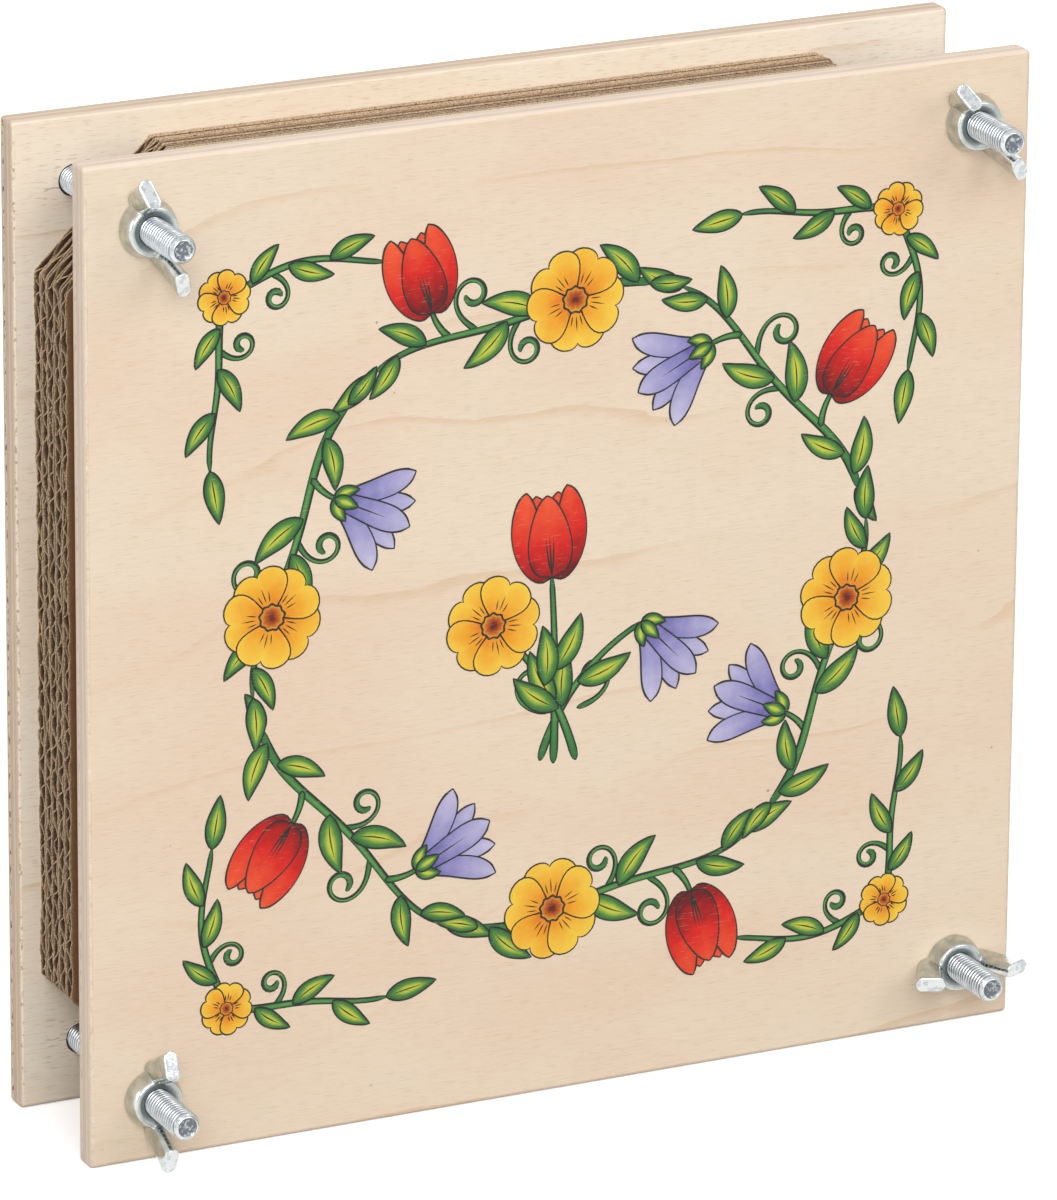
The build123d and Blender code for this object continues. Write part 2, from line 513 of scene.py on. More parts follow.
@dataclass(frozen=True)
class KraftFinish:
    """Brown kraft board with flecks, faint flute lines of painted shade, pale cut edges and painted shade
    inside the flutes.
    """

    name: str
    flute_pitch: float
    deep: Colour = paint(106, 71, 44)
    light: Colour = paint(146, 110, 78)
    fleck: Colour = paint(78, 54, 36)
    # painted shade inside the flutes
    hollow: Colour = paint(48, 28, 15)
    cut: Colour = paint(218, 192, 160)

    def material(self) -> bpy.types.Material:
        """Make the board's skin; the mesh's cut value gives the pale edges, and its second value where the
        flutes take painted shade.

        Returns:
            The material.
        """
        bench, material = Bench.for_material(self.name)
        place = bench.place()
        cut, inside, _ = bench.trait("cut")
        across = bench.split(place)[2]
        cloud = bench.noise(place, (0.06, 0.06, 0.06), 3.0)
        fibre = bench.noise(place, (1.6, 1.6, 1.6), 4.0)
        hair = bench.noise(place, (0.6, 2.0, 4.0), 2.0)
        flutes = (across * (2 * math.pi / self.flute_pitch)).wave() * 0.5 + 0.5
        colour = bench.mix(cloud * 0.6 + fibre * 0.5 - 0.05, self.deep, self.light)
        colour = bench.mix(hair.ease(0.62, 0.72) * 0.45, colour, self.fleck)
        # painted shade: faint dark lines along the flutes for the washboard's relief
        colour = bench.mix(flutes * 0.12, colour, self.deep)
        # painted shade: the faces inside the card take the dark hollow colour
        colour = bench.mix(inside * 0.82, colour, self.hollow)
        fuzz = bench.noise(place, (3.0, 3.0, 3.0), 3.0)
        colour = bench.mix(cut * fuzz.ease(0.25, 0.6), colour, self.cut)
        relief = fibre * 0.5 + hair * 0.2 + flutes * 0.15 + fuzz * cut * 0.6
        bench.surface(
            Base_Color=colour,
            Roughness=0.82 + fibre * 0.12,
            Specular_IOR_Level=0.2,
            Normal=bench.bump(relief, 0.12),
        )
        return material


@dataclass(frozen=True)
class BlottingFinish:
    """Soft absorbent paper with loose fibres."""

    name: str
    white: Colour = paint(238, 234, 224)
    shade: Colour = paint(222, 214, 199)
    thread: Colour = paint(196, 184, 163)

    def material(self) -> bpy.types.Material:
        """Make the paper's felted surface.

        Returns:
            The material.
        """
        bench, material = Bench.for_material(self.name)
        place = bench.place()
        felt = bench.noise(place, (0.5, 0.5, 0.5), 4.0)
        tooth = bench.noise(place, (3.2, 3.2, 3.2), 3.0)
        threads = bench.noise(place, (0.8, 1.0, 3.4), 2.0).ease(0.66, 0.74)
        colour = bench.mix(felt.ease(0.3, 0.75), self.white, self.shade)
        colour = bench.mix(threads * 0.3, colour, self.thread)
        bench.surface(
            Base_Color=colour,
            Roughness=0.88 + tooth * 0.1,
            Specular_IOR_Level=0.15,
            Normal=bench.bump(felt * 0.5 + tooth * 0.5, 0.08),
        )
        return material


class Shading(Enum):
    """Which way a film of ink deepens."""

    FROM_BASE = "deep at the base, light at the tip"
    FROM_RIM = "deep at the rim, light in the middle"


@dataclass(frozen=True)
class InkFinish:
    """Screen-printed ink, shaded along each petal or leaf, with the wood's pores showing."""

    name: str
    deep: Colour
    middle: Colour
    light: Colour
    shading: Shading
    wood: Colour = paint(232, 210, 182)

    def material(self) -> bpy.types.Material:
        """Make the ink; the mesh carries how far along, across and how toned each point is.

        Returns:
            The material.
        """
        bench, material = Bench.for_material(self.name)
        place = bench.place()
        along, across, tone = bench.trait("shade")
        mottle = bench.noise(place, (0.35, 0.35, 0.35), 3.0)
        brush = bench.noise(place, (1.1, 1.1, 1.1), 2.0)
        if self.shading is Shading.FROM_BASE:
            level = along * 0.8 + (1 - across) * 0.12
        else:
            level = (1 - across) * (along * math.pi).wave() * 1.15
        level = level + (tone - 0.5) * 0.4 + (mottle - 0.5) * 0.35 + (brush - 0.5) * 0.12
        stops = [(0.06, self.deep), (0.45, self.middle), (0.92, self.light)]
        colour = bench.node("ValToRGB", {"stops": stops}, {0: level}, out="Color")
        pores = bench.noise(place, (0.34, 1.0, 4.2), 1.0).ease(0.64, 0.73)
        colour = bench.mix(pores * 0.2, colour, self.wood)
        bench.surface(
            Base_Color=colour,
            Roughness=0.5 + mottle * 0.14,
            Specular_IOR_Level=0.35,
            Normal=bench.bump(brush * 0.4 + (1 - pores) * 0.5, 0.02),
        )
        return material


class MeshDraft:
    """Points, faces and point values of a mesh that is being put together."""

    def __init__(self, trait: str | None = None) -> None:
        """Start empty.

        Args:
            trait: name of the three values that the points carry, if they do.
        """
        self.trait = trait
        self.points: list[np.ndarray] = []
        self.values: list[np.ndarray] = []
        self.faces: list[tuple[int, ...]] = []
        self.count = 0

    def _add(self, points: np.ndarray, values: np.ndarray | None) -> int:
        """Append points with their values.

        Args:
            points: the points, in any shape that ends in three.
            values: three values for each, or nothing for zeros.

        Returns:
            The first one's number.
        """
        flat = points.reshape(-1, 3)
        start = self.count
        self.points.append(flat)
        self.values.append(np.zeros_like(flat) if values is None else values.reshape(-1, 3))
        self.count += len(flat)
        return start

    def tube(
        self,
        rows: np.ndarray,
        first: np.ndarray,
        last: np.ndarray,
        values: np.ndarray | None = None,
    ) -> None:
        """Add a closed skin of rings that end in a point at each end.

        Args:
            rows: the rings, as rows by points by three.
            first, last: the end points.
            values: three values for each ring point.
        """
        count, around = rows.shape[:2]
        start = self._add(rows, values)
        ends = np.array([first, last])
        end_values = None if values is None else np.array([values[0].mean(0), values[-1].mean(0)])
        tip = self._add(ends, end_values)
        ring = np.arange(around)
        after = (ring + 1) % around
        for row in range(count - 1):
            low = start + row * around
            self.faces += zip(low + ring, low + after, low + around + after, low + around + ring)
        bottom = start + (count - 1) * around
        self.faces += zip([tip] * around, start + after, start + ring)
        self.faces += zip([tip + 1] * around, bottom + ring, bottom + after)

    def slab(
        self,
        top: np.ndarray,
        bottom: np.ndarray,
        values: np.ndarray | None = None,
        bottom_values: np.ndarray | None = None,
    ) -> None:
        """Add a closed sheet between two grids of points.

        Args:
            top, bottom: the two faces, as rows by columns by three.
            values: three values for each point of the top, or of both faces.
            bottom_values: the bottom's own values, where they differ.
        """
        rows, columns = top.shape[:2]
        upper = self._add(top, values)
        lower = self._add(bottom, values if bottom_values is None else bottom_values)
        number = np.arange(rows * columns).reshape(rows, columns)
        quads = [number[:-1, :-1], number[:-1, 1:], number[1:, 1:], number[1:, :-1]]
        corners = [quad.ravel() for quad in quads]
        self.faces += zip(*(upper + corner for corner in corners))
        self.faces += zip(*(lower + corner for corner in reversed(corners)))
        rim = np.concatenate([number[0, :-1], number[:-1, -1], number[-1, :0:-1], number[:0:-1, 0]])
        following = np.roll(rim, -1)
        self.faces += zip(upper + rim, lower + rim, lower + following, upper + following)

    def make(self, name: str, sharp_angle: float = 40.0) -> bpy.types.Object:
        """Turn the draft into an object.

        Args:
            name: the object's name.
            sharp_angle: edges that turn by more degrees stay sharp.

        Returns:
            The object, linked to the scene.
        """
        mesh = bpy.data.meshes.new(name)
        faces = [tuple(int(i) for i in face) for face in self.faces]
        mesh.from_pydata(np.concatenate(self.points).tolist(), [], faces)
        if self.trait:
            layer = mesh.attributes.new(self.trait, "FLOAT_VECTOR", "POINT")
            layer.data.foreach_set("vector", np.concatenate(self.values).astype(np.float32).ravel())
        return finish_mesh(name, mesh, sharp_angle)


def finish_mesh(name: str, mesh: bpy.types.Mesh, sharp_angle: float) -> bpy.types.Object:
    """Turn faces outward, shade them smooth and link the object.

    Args:
        name: the object's name.
        mesh: its mesh.
        sharp_angle: edges that turn by more degrees stay sharp.

    Returns:
        The object.
    """
    work = bmesh.new()
    work.from_mesh(mesh)
    bmesh.ops.recalc_face_normals(work, faces=work.faces)
    work.to_mesh(mesh)
    work.free()
    mesh.polygons.foreach_set("use_smooth", [True] * len(mesh.polygons))
    mesh.set_sharp_from_angle(angle=math.radians(sharp_angle))
    made = bpy.data.objects.new(name, mesh)
    bpy.context.scene.collection.objects.link(made)
    return made


def ripple(places: np.ndarray, wavelength: float, seed: int) -> np.ndarray:
    """Smooth random values along a line, from about -1 to 1.

    Args:
        places: where to read them.
        wavelength: distance over which they change.
        seed: which line.

    Returns:
        One value for each place.
    """
    steps = places / wavelength + 1000.0
    knots = np.floor(steps).astype(int)
    share = steps - knots
    share = share * share * (3 - 2 * share)
    table = np.random.default_rng(seed).uniform(-1, 1, RIPPLE_KNOTS)
    before, after = table[knots % RIPPLE_KNOTS], table[(knots + 1) % RIPPLE_KNOTS]
    return before * (1 - share) + after * share


def wear_finish(piece: bpy.types.Object, material: bpy.types.Material) -> None:
    """Put one finish on every slot of a piece.

    Args:
        piece: the piece.
        material: its finish.
    """
    if not piece.material_slots:
        piece.data.materials.append(material)
    for slot in piece.material_slots:
        slot.material = material


def seat(
    piece: bpy.types.Object,
    body: str,
    material: bpy.types.Material,
    node: str | None = None,
) -> None:
    """Dress a piece, tie it to its body and report it.

    Args:
        piece: the new piece.
        body: the body that carries it.
        material: its finish.
        node: the plain solid that it stands for.
    """
    wear_finish(piece, material)
    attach(piece, body)
    if node:
        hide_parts(node)
    LOG.info("%s rides on %s with %d faces", piece.name, body, len(piece.data.polygons))


@dataclass(frozen=True)
class Spindle:
    """A bolt's axis: where it starts, and which way its wings or threads count from."""

    start: Vector
    spin: float

    def map(self, points: np.ndarray) -> np.ndarray:
        """Move points from outward, sideways and forward distances in millimetres to the part's frame.

        Args:
            points: rows of the three distances.

        Returns:
            The same rows in metres.
        """
        angle = math.radians(self.spin)
        outward = np.array([math.cos(angle), 0.0, math.sin(angle)])
        sideways = np.array([-math.sin(angle), 0.0, math.cos(angle)])
        forward = np.array([0.0, -1.0, 0.0])
        turned = points[..., :1] * outward + points[..., 1:2] * sideways + points[..., 2:] * forward
        return np.array(self.start) + turned * MM


@dataclass
class CarriageBolt:
    """A domed head, a square neck and a threaded shank with a dished tip; sizes in millimetres."""

    number: int
    head_radius: float = 8.25
    head_height: float = 3.9
    head_rim: float = 0.7
    neck_half: float = 3.2
    neck_corner: float = 4.25
    neck_depth: float = 4.2
    crest_radius: float = 2.98
    root_radius: float = 2.42
    pitch: float = 1.0
    length: float = 60.0
    tip_chamfer: float = 0.85
    dish_radius: float = 2.05
    dish_depth: float = 0.42
    around: int = 48
    rows_per_pitch: int = 10

    def build(self) -> bpy.types.Object:
        """Make one closed skin from the head's crown to the tip's dish.

        Returns:
            The bolt.
        """
        low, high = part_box(f"carriage_bolt_{self.number}")
        middle = (low + high) / 2
        spindle = Spindle(Vector((middle.x, high.y - self.head_height * MM, middle.z)), 0.0)
        turn = np.arange(self.around) * (2 * math.pi / self.around)
        rings = self._head_rings(turn) + self._shank_rings(turn) + self._tip_rings(turn)
        radius = np.array([ring[0] for ring in rings])
        level = np.array([[ring[1]] * self.around for ring in rings])
        rows = np.stack([radius * np.cos(turn), radius * np.sin(turn), level], axis=-1)
        wear = np.array([[ring[2]] * self.around for ring in rings])
        thread = (level > self.neck_depth) & (level < self.length - 0.7 * self.tip_chamfer)
        # painted shade: the thread valleys, and the rim of the domed head, take the darker grime colour
        grime_and_shade = np.clip((self.crest_radius - 0.13 - radius) / 0.3, 0, 1) * thread
        head_rim = np.clip((radius - self.head_radius + 0.7) / 0.6, 0, 1) * (level < 0)
        grime_and_shade = np.maximum(grime_and_shade, 0.35 * head_rim)
        # partly a painted highlight: the tip's chamfer ring takes the brighter burnished colour
        burnished_rim_highlight = np.clip((level - self.length + self.tip_chamfer) / 0.4, 0, 1) * (wear < 0.5)
        values = np.stack([wear, grime_and_shade, burnished_rim_highlight], axis=-1)
        crown = spindle.map(np.array([0.0, 0.0, -self.head_height]))
        hollow = spindle.map(np.array([0.0, 0.0, self.length - self.dish_depth]))
        draft = MeshDraft("wear")
        draft.tube(spindle.map(rows), crown, hollow, values)
        return draft.make(f"bolt_{self.number}", 50.0)

    def _head_rings(self, turn: np.ndarray) -> list[tuple[np.ndarray, float, float]]:
        """Shape the dome, its rim and the square neck.

        Args:
            turn: angles of a ring's points.

        Returns:
            The rings, as radius, level and wear.
        """
        even = np.ones_like(turn)
        rise = self.head_height - self.head_rim
        sphere = (self.head_radius**2 + rise**2) / (2 * rise)
        reach = math.asin(self.head_radius / sphere)
        rings = []
        for angle in np.linspace(0.08, 1.0, 14) * reach:
            level = sphere * (1 - math.cos(angle)) - self.head_height
            rings.append((even * sphere * math.sin(angle), level, 0.0))
        rings.append((even * self.head_radius, -self.head_rim * 0.55, 0.0))
        rings.append((even * (self.head_radius - 0.05), -self.head_rim * 0.2, 0.0))
        rings.append((even * (self.head_radius - 0.3), 0.0, 0.0))
        square = self.neck_half / np.maximum(abs(np.cos(turn)), abs(np.sin(turn)))
        square = np.minimum(square, self.neck_corner)
        rings.append((square, 0.0, 0.0))
        rings.append((square, self.neck_depth - 0.3, 0.0))
        rings.append((square * 0.95, self.neck_depth, 0.0))
        return rings

    def _shank_rings(self, turn: np.ndarray) -> list[tuple[np.ndarray, float, float]]:
        """Shape the right-hand thread up to the tip.

        Args:
            turn: angles of a ring's points.

        Returns:
            The rings, as radius, level and wear.
        """
        rings = []
        depth = self.crest_radius - self.root_radius
        start = self.neck_depth + 0.05
        count = int((self.length - start) / self.pitch * self.rows_per_pitch)
        for level in np.linspace(start, self.length - 0.06, count):
            phase = (level / self.pitch - turn / (2 * math.pi)) % 1.0
            flank = np.clip((abs(2 * phase - 1) - 0.14) / 0.72, 0, 1)
            radius = self.root_radius + depth * flank * flank * (3 - 2 * flank)
            bevel = self.crest_radius - max(0.0, level - (self.length - self.tip_chamfer)) * 0.95
            rings.append((np.minimum(radius, bevel), level, 0.0))
        return rings

    def _tip_rings(self, turn: np.ndarray) -> list[tuple[np.ndarray, float, float]]:
        """Shape the rounded rim and the rough dish.

        Args:
            turn: angles of a ring's points.

        Returns:
            The rings, as radius, level and wear.
        """
        even = np.ones_like(turn)
        lip = self.dish_radius
        rings = [(even * (lip + 0.06), self.length - 0.01, 0.1), (even * lip, self.length, 0.3)]
        for share in (0.96, 0.9, 0.78, 0.6, 0.4, 0.2):
            sink = self.dish_depth * min(1.0, (1 - share) * 3.4) ** 0.7
            crumbs = ripple(turn / (2 * math.pi) * 40, 3.0, 70 + self.number) * 0.04
            wear = 1.0 if share < 0.93 else 0.7
            rings.append((even * lip * share * (1 + crumbs), self.length - sink, wear))
        return rings


@dataclass
class WingNut:
    """A forged nut with a conical boss and two leaning wings; sizes in millimetres."""

    boss_height: float = 4.2
    bore_radius: float = 3.08
    sink_radius: float = 4.3
    sink_depth: float = 0.85
    wing_half: float = 1.6
    facet_inner: Flat = (7.4, 11.2)
    facet_outer: Flat = (13.2, 8.8)
    voxel: float = 0.2
    around: int = 72

    def build(self) -> bpy.types.Object:
        """Weld boss and wings into one soft-edged casting and bore it.

        Returns:
            The nut about the origin, in millimetres.
        """
        draft = MeshDraft("wear")
        turn = np.arange(self.around) * (2 * math.pi / self.around)
        boss = [(5.75, 0.0), (6.0, 0.1), (6.1, 0.35), (6.08, 0.8), (5.8, 2.0), (5.38, 3.3), (5.15, 3.9)]
        boss += [(4.8, self.boss_height), (2.0, self.boss_height)]
        draft.tube(self._lathe(boss, turn), np.zeros(3), np.array([0.0, 0.0, self.boss_height]))
        for side in (1, -1):
            self._add_wing(draft, side)
        casting = draft.make("wing_nut_casting", 30.0)
        self._modify(casting, "REMESH", {"mode": "VOXEL", "voxel_size": self.voxel, "adaptivity": 0.0})
        self._modify(casting, "SMOOTH", {"factor": 0.5, "iterations": 5})
        cutter = MeshDraft()
        bottom, top = -2.0, self.boss_height + 0.6
        shaft = [(self.bore_radius, bottom), (self.bore_radius, self.boss_height - self.sink_depth)]
        shaft += [(self.sink_radius, self.boss_height), (self.sink_radius + 0.5, top)]
        cutter.tube(self._lathe(shaft, turn), np.array([0.0, 0.0, bottom]), np.array([0.0, 0.0, top]))
        drill = cutter.make("wing_nut_drill", 30.0)
        self._modify(casting, "BOOLEAN", {"operation": "DIFFERENCE", "object": drill, "solver": "EXACT"})
        bpy.data.objects.remove(drill)
        self._mark(casting.data)
        return casting

    @staticmethod
    def _lathe(profile: Sequence[Flat], turn: np.ndarray) -> np.ndarray:
        """Turn a profile about the axis.

        Args:
            profile: pairs of radius and level.
            turn: angles of a ring's points.

        Returns:
            The rings, as rows by points by three.
        """
        shape = np.array(profile)
        radius, level = shape[:, :1], shape[:, 1:]
        return np.stack([radius * np.cos(turn), radius * np.sin(turn), level + 0 * turn], axis=-1)

    def _add_wing(self, draft: MeshDraft, side: int) -> None:
        """Loft one wing from inside the boss to its bright round-ended facet.

        Args:
            draft: the mesh that takes the wing.
            side: 1 or -1, the way that the wing leans.
        """
        inner = [(3.4, 0.2), (3.8, 2.4), (4.7, 5.3), (6.1, 8.5), self.facet_inner]
        outer = [(8.2, 0.2), (9.5, 2.5), (10.9, 4.9), (12.2, 7.1), self.facet_outer]
        halves = [1.8, 1.7, 1.6, 1.55, self.wing_half]
        turn = np.linspace(0, 2 * math.pi, 28, endpoint=False)
        rows = []
        for near, far, half in zip(inner, outer, halves):
            middle = (np.array(near) + np.array(far)) / 2
            along = (np.array(far) - np.array(near)) / 2
            length = float(np.hypot(*along))
            straight = (length - half) / length
            share = np.sign(np.cos(turn)) * straight + np.cos(turn) * half / length
            spot = middle + share[:, None] * along
            rows.append(np.stack([side * spot[:, 0], np.sin(turn) * half, spot[:, 1]], axis=-1))
        skin = np.array(rows)
        draft.tube(skin, skin[0].mean(0), skin[-1].mean(0))

    def _mark(self, mesh: bpy.types.Mesh) -> None:
        """Note where the casting is burnished, partly as a painted highlight, and where it takes painted
        shade in the colour of grime.

        Args:
            mesh: the casting's mesh.
        """
        points = np.empty(len(mesh.vertices) * 3)
        mesh.vertices.foreach_get("co", points)
        out, aside, level = np.abs(points.reshape(-1, 3)).T
        radius = np.hypot(out, aside)
        slope = np.array(self.facet_outer) - np.array(self.facet_inner)
        across = np.array([-slope[1], slope[0]]) / np.hypot(*slope)
        height = (out - self.facet_inner[0]) * across[0] + (level - self.facet_inner[1]) * across[1]
        # the wing-end facets are burnished, partly as a painted highlight
        polish_and_highlight = np.clip((height + 0.4) / 0.3, 0, 1)
        # painted shade: the countersink, the crease where the wings meet the boss top, and the boss's top
        # ring
        sunk = np.clip((self.sink_radius + 0.1 - radius) / 0.7, 0, 1)
        crease = np.clip(1 - abs(radius - 4.9) / 0.5, 0, 1) * np.clip(1 - abs(level - 4.4) / 0.5, 0, 1)
        lip = np.clip(1 - abs(radius - 4.5) / 0.5, 0, 1)
        lip = lip * np.clip(1 - abs(level - self.boss_height) / 0.4, 0, 1)
        grime_and_shade = np.maximum.reduce([sunk, 0.6 * crease * (out > 3.0), 0.55 * lip])
        values = np.stack([np.zeros_like(grime_and_shade), grime_and_shade, polish_and_highlight], axis=-1)
        for name in [layer.name for layer in mesh.attributes if layer.name == "wear"]:
            mesh.attributes.remove(mesh.attributes[name])
        layer = mesh.attributes.new("wear", "FLOAT_VECTOR", "POINT")
        layer.data.foreach_set("vector", values.astype(np.float32).ravel())

    @staticmethod
    def _modify(piece: bpy.types.Object, kind: str, settings: dict[str, Any]) -> None:
        """Run one modifier on a piece and keep its result.

        Args:
            piece: the piece.
            kind: the modifier's type.
            settings: the modifier's own settings.
        """
        modifier = piece.modifiers.new(kind.lower(), kind)
        for key, value in settings.items():
            setattr(modifier, key, value)
        with bpy.context.temp_override(object=piece, active_object=piece):
            bpy.ops.object.modifier_apply(modifier=modifier.name)

    def place(self, casting: bpy.types.Object, number: int, spin: float) -> bpy.types.Object:
        """Copy the casting onto its bolt.

        Args:
            casting: the nut about the origin, in millimetres.
            number: which bolt.
            spin: degrees from the width towards up at which its wings stand.

        Returns:
            The placed nut.
        """
        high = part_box(f"wing_nut_{number}")[1]
        bolt_low, bolt_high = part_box(f"carriage_bolt_{number}")
        axis = (bolt_low + bolt_high) / 2
        spindle = Spindle(Vector((axis.x, high.y, axis.z)), spin)
        mesh = casting.data.copy()
        points = np.empty(len(mesh.vertices) * 3)
        mesh.vertices.foreach_get("co", points)
        mesh.vertices.foreach_set("co", spindle.map(points.reshape(-1, 3)).ravel())
        return finish_mesh(f"nut_{number}", mesh, 45.0)


@dataclass
class CorrugatedCard:
    """Two liners with a waved medium between them, splayed and crushed at the cut edges; millimetres."""

    number: int
    splay_back: float
    splay_front: float
    pinch: float
    flute_start: float
    thickness: float = 2.8
    liner: float = 0.3
    medium: float = 0.25
    wave_count: int = 31
    samples_per_wave: int = 14
    corner_clip: float = 25.2
    crush_reach: float = 5.0
    middle: Vector = field(init=False)
    back: float = field(init=False)
    half: float = field(init=False)

    def __post_init__(self) -> None:
        """Read the card's place from its solid."""
        low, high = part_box(f"corrugated_card_{self.number}")
        self.middle = (low + high) / 2
        self.back = high.y
        self.half = (high.x - low.x) / 2 / MM

    def build(self) -> bpy.types.Object:
        """Make both liners and the medium as closed sheets in one piece.

        Returns:
            The card.
        """
        draft = MeshDraft("cut")
        seed = 11 * self.number
        ends = np.array([0.12, 0.3, 0.55, 0.9, 1.4, 2.0])
        coarse = np.linspace(-self.half, self.half, self.wave_count * 7 + 1)
        coarse = np.unique(np.concatenate([coarse, self.half - ends, ends - self.half]))
        fine = np.linspace(-self.half, self.half, self.wave_count * self.samples_per_wave + 1)
        self._sheet(draft, coarse, self._liner_back, self.liner, seed + 1, (1.0, 0.0))
        self._sheet(draft, coarse, self._liner_front, self.liner, seed + 2, (0.0, 1.0))
        self._sheet(draft, fine, self._wave, self.medium, seed + 3, (1.0, 1.0))
        return draft.make(f"card_{self.number}", 50.0)

    def _ends(self, across: np.ndarray) -> np.ndarray:
        """Half length along the flutes at places across them, shorter at the clipped corners."""
        return self.half - np.maximum(0, abs(across) - (self.half - self.corner_clip))

    def _crush(self, across: np.ndarray, inset: np.ndarray, side: np.ndarray, seed: int) -> np.ndarray:
        """Find how far a sheet is pushed out of its plane near the cut ends.

        Args:
            across: places across the flutes.
            inset: distances from the cut end.
            side: -1 or 1, for the left or the right end.
            seed: which random line.

        Returns:
            The push, from about -1.5 to 1.5.
        """
        left = ripple(across, 7.0, seed) + 0.5 * ripple(across, 2.6, seed + 100)
        right = ripple(across, 7.0, seed + 50) + 0.5 * ripple(across, 2.6, seed + 150)
        return np.where(side < 0, left, right) * np.exp(-inset / self.crush_reach)

    def _swell(self, across: np.ndarray) -> np.ndarray:
        """How much the knife has fluffed up a liner along the edges that run with the flutes."""
        return self.liner * self.pinch * np.exp(-(self.half - abs(across)) / 0.8)

    def _splay(self, across: np.ndarray, inset: np.ndarray) -> np.ndarray:
        """How far the liners spread at the cut edges, where the papers no longer part the cards."""
        return np.exp(-np.minimum(inset, self.half - abs(across)) / 3.0)

    def _liner_back(self, across: np.ndarray, inset: np.ndarray, side: np.ndarray) -> np.ndarray:
        """Find the level of the rear liner's middle.

        Args:
            across: places across the flutes.
            inset: distances from the cut end.
            side: -1 or 1, for the left or the right end.

        Returns:
            The levels, from the card's back.
        """
        push = self._crush(across, inset, side, 7 * self.number + 1)
        level = self.liner / 2 + 0.02 + 0.26 * np.clip(push + 0.1, 0, 1.3)
        return level - self.splay_back * self._splay(across, inset) + self._swell(across) / 2

    def _liner_front(self, across: np.ndarray, inset: np.ndarray, side: np.ndarray) -> np.ndarray:
        """Find the level of the front liner's middle.

        Args:
            across: places across the flutes.
            inset: distances from the cut end.
            side: -1 or 1, for the left or the right end.

        Returns:
            The levels, from the card's back.
        """
        push = self._crush(across, inset, side, 7 * self.number + 2)
        level = self.thickness - self.liner / 2 - 0.02 - 0.26 * np.clip(push + 0.1, 0, 1.3)
        return level + self.splay_front * self._splay(across, inset) - self._swell(across) / 2

    def _wave(self, across: np.ndarray, inset: np.ndarray, side: np.ndarray) -> np.ndarray:
        """Find the level of the medium's middle, which swings from liner to liner.

        Args:
            across: places across the flutes.
            inset: distances from the cut end.
            side: -1 or 1, for the left or the right end.

        Returns:
            The levels, from the card's back.
        """
        reach = (self.liner + self.medium + self._swell(across)) / 2
        rear = self._liner_back(across, inset, side) + reach
        front = self._liner_front(across, inset, side) - reach
        drift = self._crush(across, inset, side, 7 * self.number + 3)
        turns = (across + self.half - self.flute_start) / (2 * self.half) * self.wave_count
        turns = turns + 0.16 * drift + 0.03 * ripple(across, 30.0, 7 * self.number + 4)
        swing = -np.cos(2 * math.pi * turns)
        swing = np.sign(swing) * abs(swing) ** 0.8
        return (rear + front) / 2 + (front - rear) / 2 * swing

    def _sheet(
        self,
        draft: MeshDraft,
        across: np.ndarray,
        level: Callable[[np.ndarray, np.ndarray, np.ndarray], np.ndarray],
        thickness: float,
        seed: int,
        inside: Flat,
    ) -> None:
        """Add one sheet of the card.

        Args:
            draft: the mesh that takes it.
            across: places across the flutes.
            level: function for the middle of the sheet.
            thickness: the sheet's own thickness.
            seed: which frayed edge it has.
            inside: 1 where its front and its back lie inside the card, and 0 outside; the kraft paints shade
                where it is 1.
        """
        insets = np.array([0.0, 0.2, 0.6, 1.4, 3.0, 6.0, 14.0, 40.0])
        inset = np.concatenate([insets, insets[::-1]])[None, :]
        side = np.repeat([-1.0, 1.0], len(insets))[None, :]
        rows = across[:, None]
        fray = 0.16 * ripple(rows * side, 0.9, seed) + 0.2 * ripple(rows * side, 5.0, seed + 31) - 0.2
        fray = fray + 0.1 * ripple(rows * side, 0.35, seed + 57)
        along = side * (self._ends(rows) - inset + fray * np.exp(-inset / 0.5))
        middle = level(rows, inset, side)
        tangent = np.gradient(middle, across, axis=0)
        steep = 1 / np.sqrt(1 + tangent**2)
        half = (thickness + (self._swell(rows) if min(inside) == 0 else 0)) / 2
        rim = np.exp(-np.minimum(inset, (self.half - abs(rows))) / 0.3) + 0 * along
        values = [np.stack([rim, np.full_like(rim, share), 0 * rim], axis=-1) for share in inside]
        upper = self._map(along, rows - half * tangent * steep, middle + half * steep)
        lower = self._map(along, rows + half * tangent * steep, middle - half * steep)
        draft.slab(upper, lower, *values)

    def _map(self, along: np.ndarray, across: np.ndarray, level: np.ndarray) -> np.ndarray:
        """Move card points to the part's frame.

        Args:
            along: distances along the flutes from the card's middle.
            across: distances across them.
            level: distances from the card's back.

        Returns:
            The points in metres.
        """
        x = self.middle.x + along * MM
        z = self.middle.z + np.clip(across, -self.half, self.half) * MM
        return np.stack([x, self.back - level * MM, z], axis=-1)


@dataclass
class BlottingPaper:
    """A thin sheet with clipped corners, a soft edge and a faint cockle; millimetres."""

    number: int
    corner_clip: float = 21.1
    cockle: float = 0.03

    def build(self) -> bpy.types.Object:
        """Make the sheet as one closed slab.

        Returns:
            The paper.
        """
        low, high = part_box(f"blotting_paper_{self.number}")
        middle = (low + high) / 2
        half = (high.x - low.x) / 2 / MM
        rows = np.linspace(-half, half, 121)[:, None]
        share = np.linspace(-1, 1, 61)[None, :]
        ends = half - np.maximum(0, abs(rows) - (half - self.corner_clip))
        soft = 0.25 * ripple(rows * np.sign(share + 1e-9), 1.6, 300 + self.number) - 0.25
        across = share * (ends + soft * abs(share) ** 40)
        sway = ripple(rows, 40.0, 320 + self.number) * ripple(across, 55.0, 340 + self.number)
        sink = self.cockle * (0.5 + 0.5 * sway)
        x = middle.x + across * MM
        z = middle.z + (rows + 0 * across) * MM
        front = np.stack([x, low.y + sink * MM, z], axis=-1)
        back = np.stack([x, high.y - (self.cockle - sink) * MM, z], axis=-1)
        draft = MeshDraft()
        draft.slab(front, back)
        return draft.make(f"paper_{self.number}", 50.0)


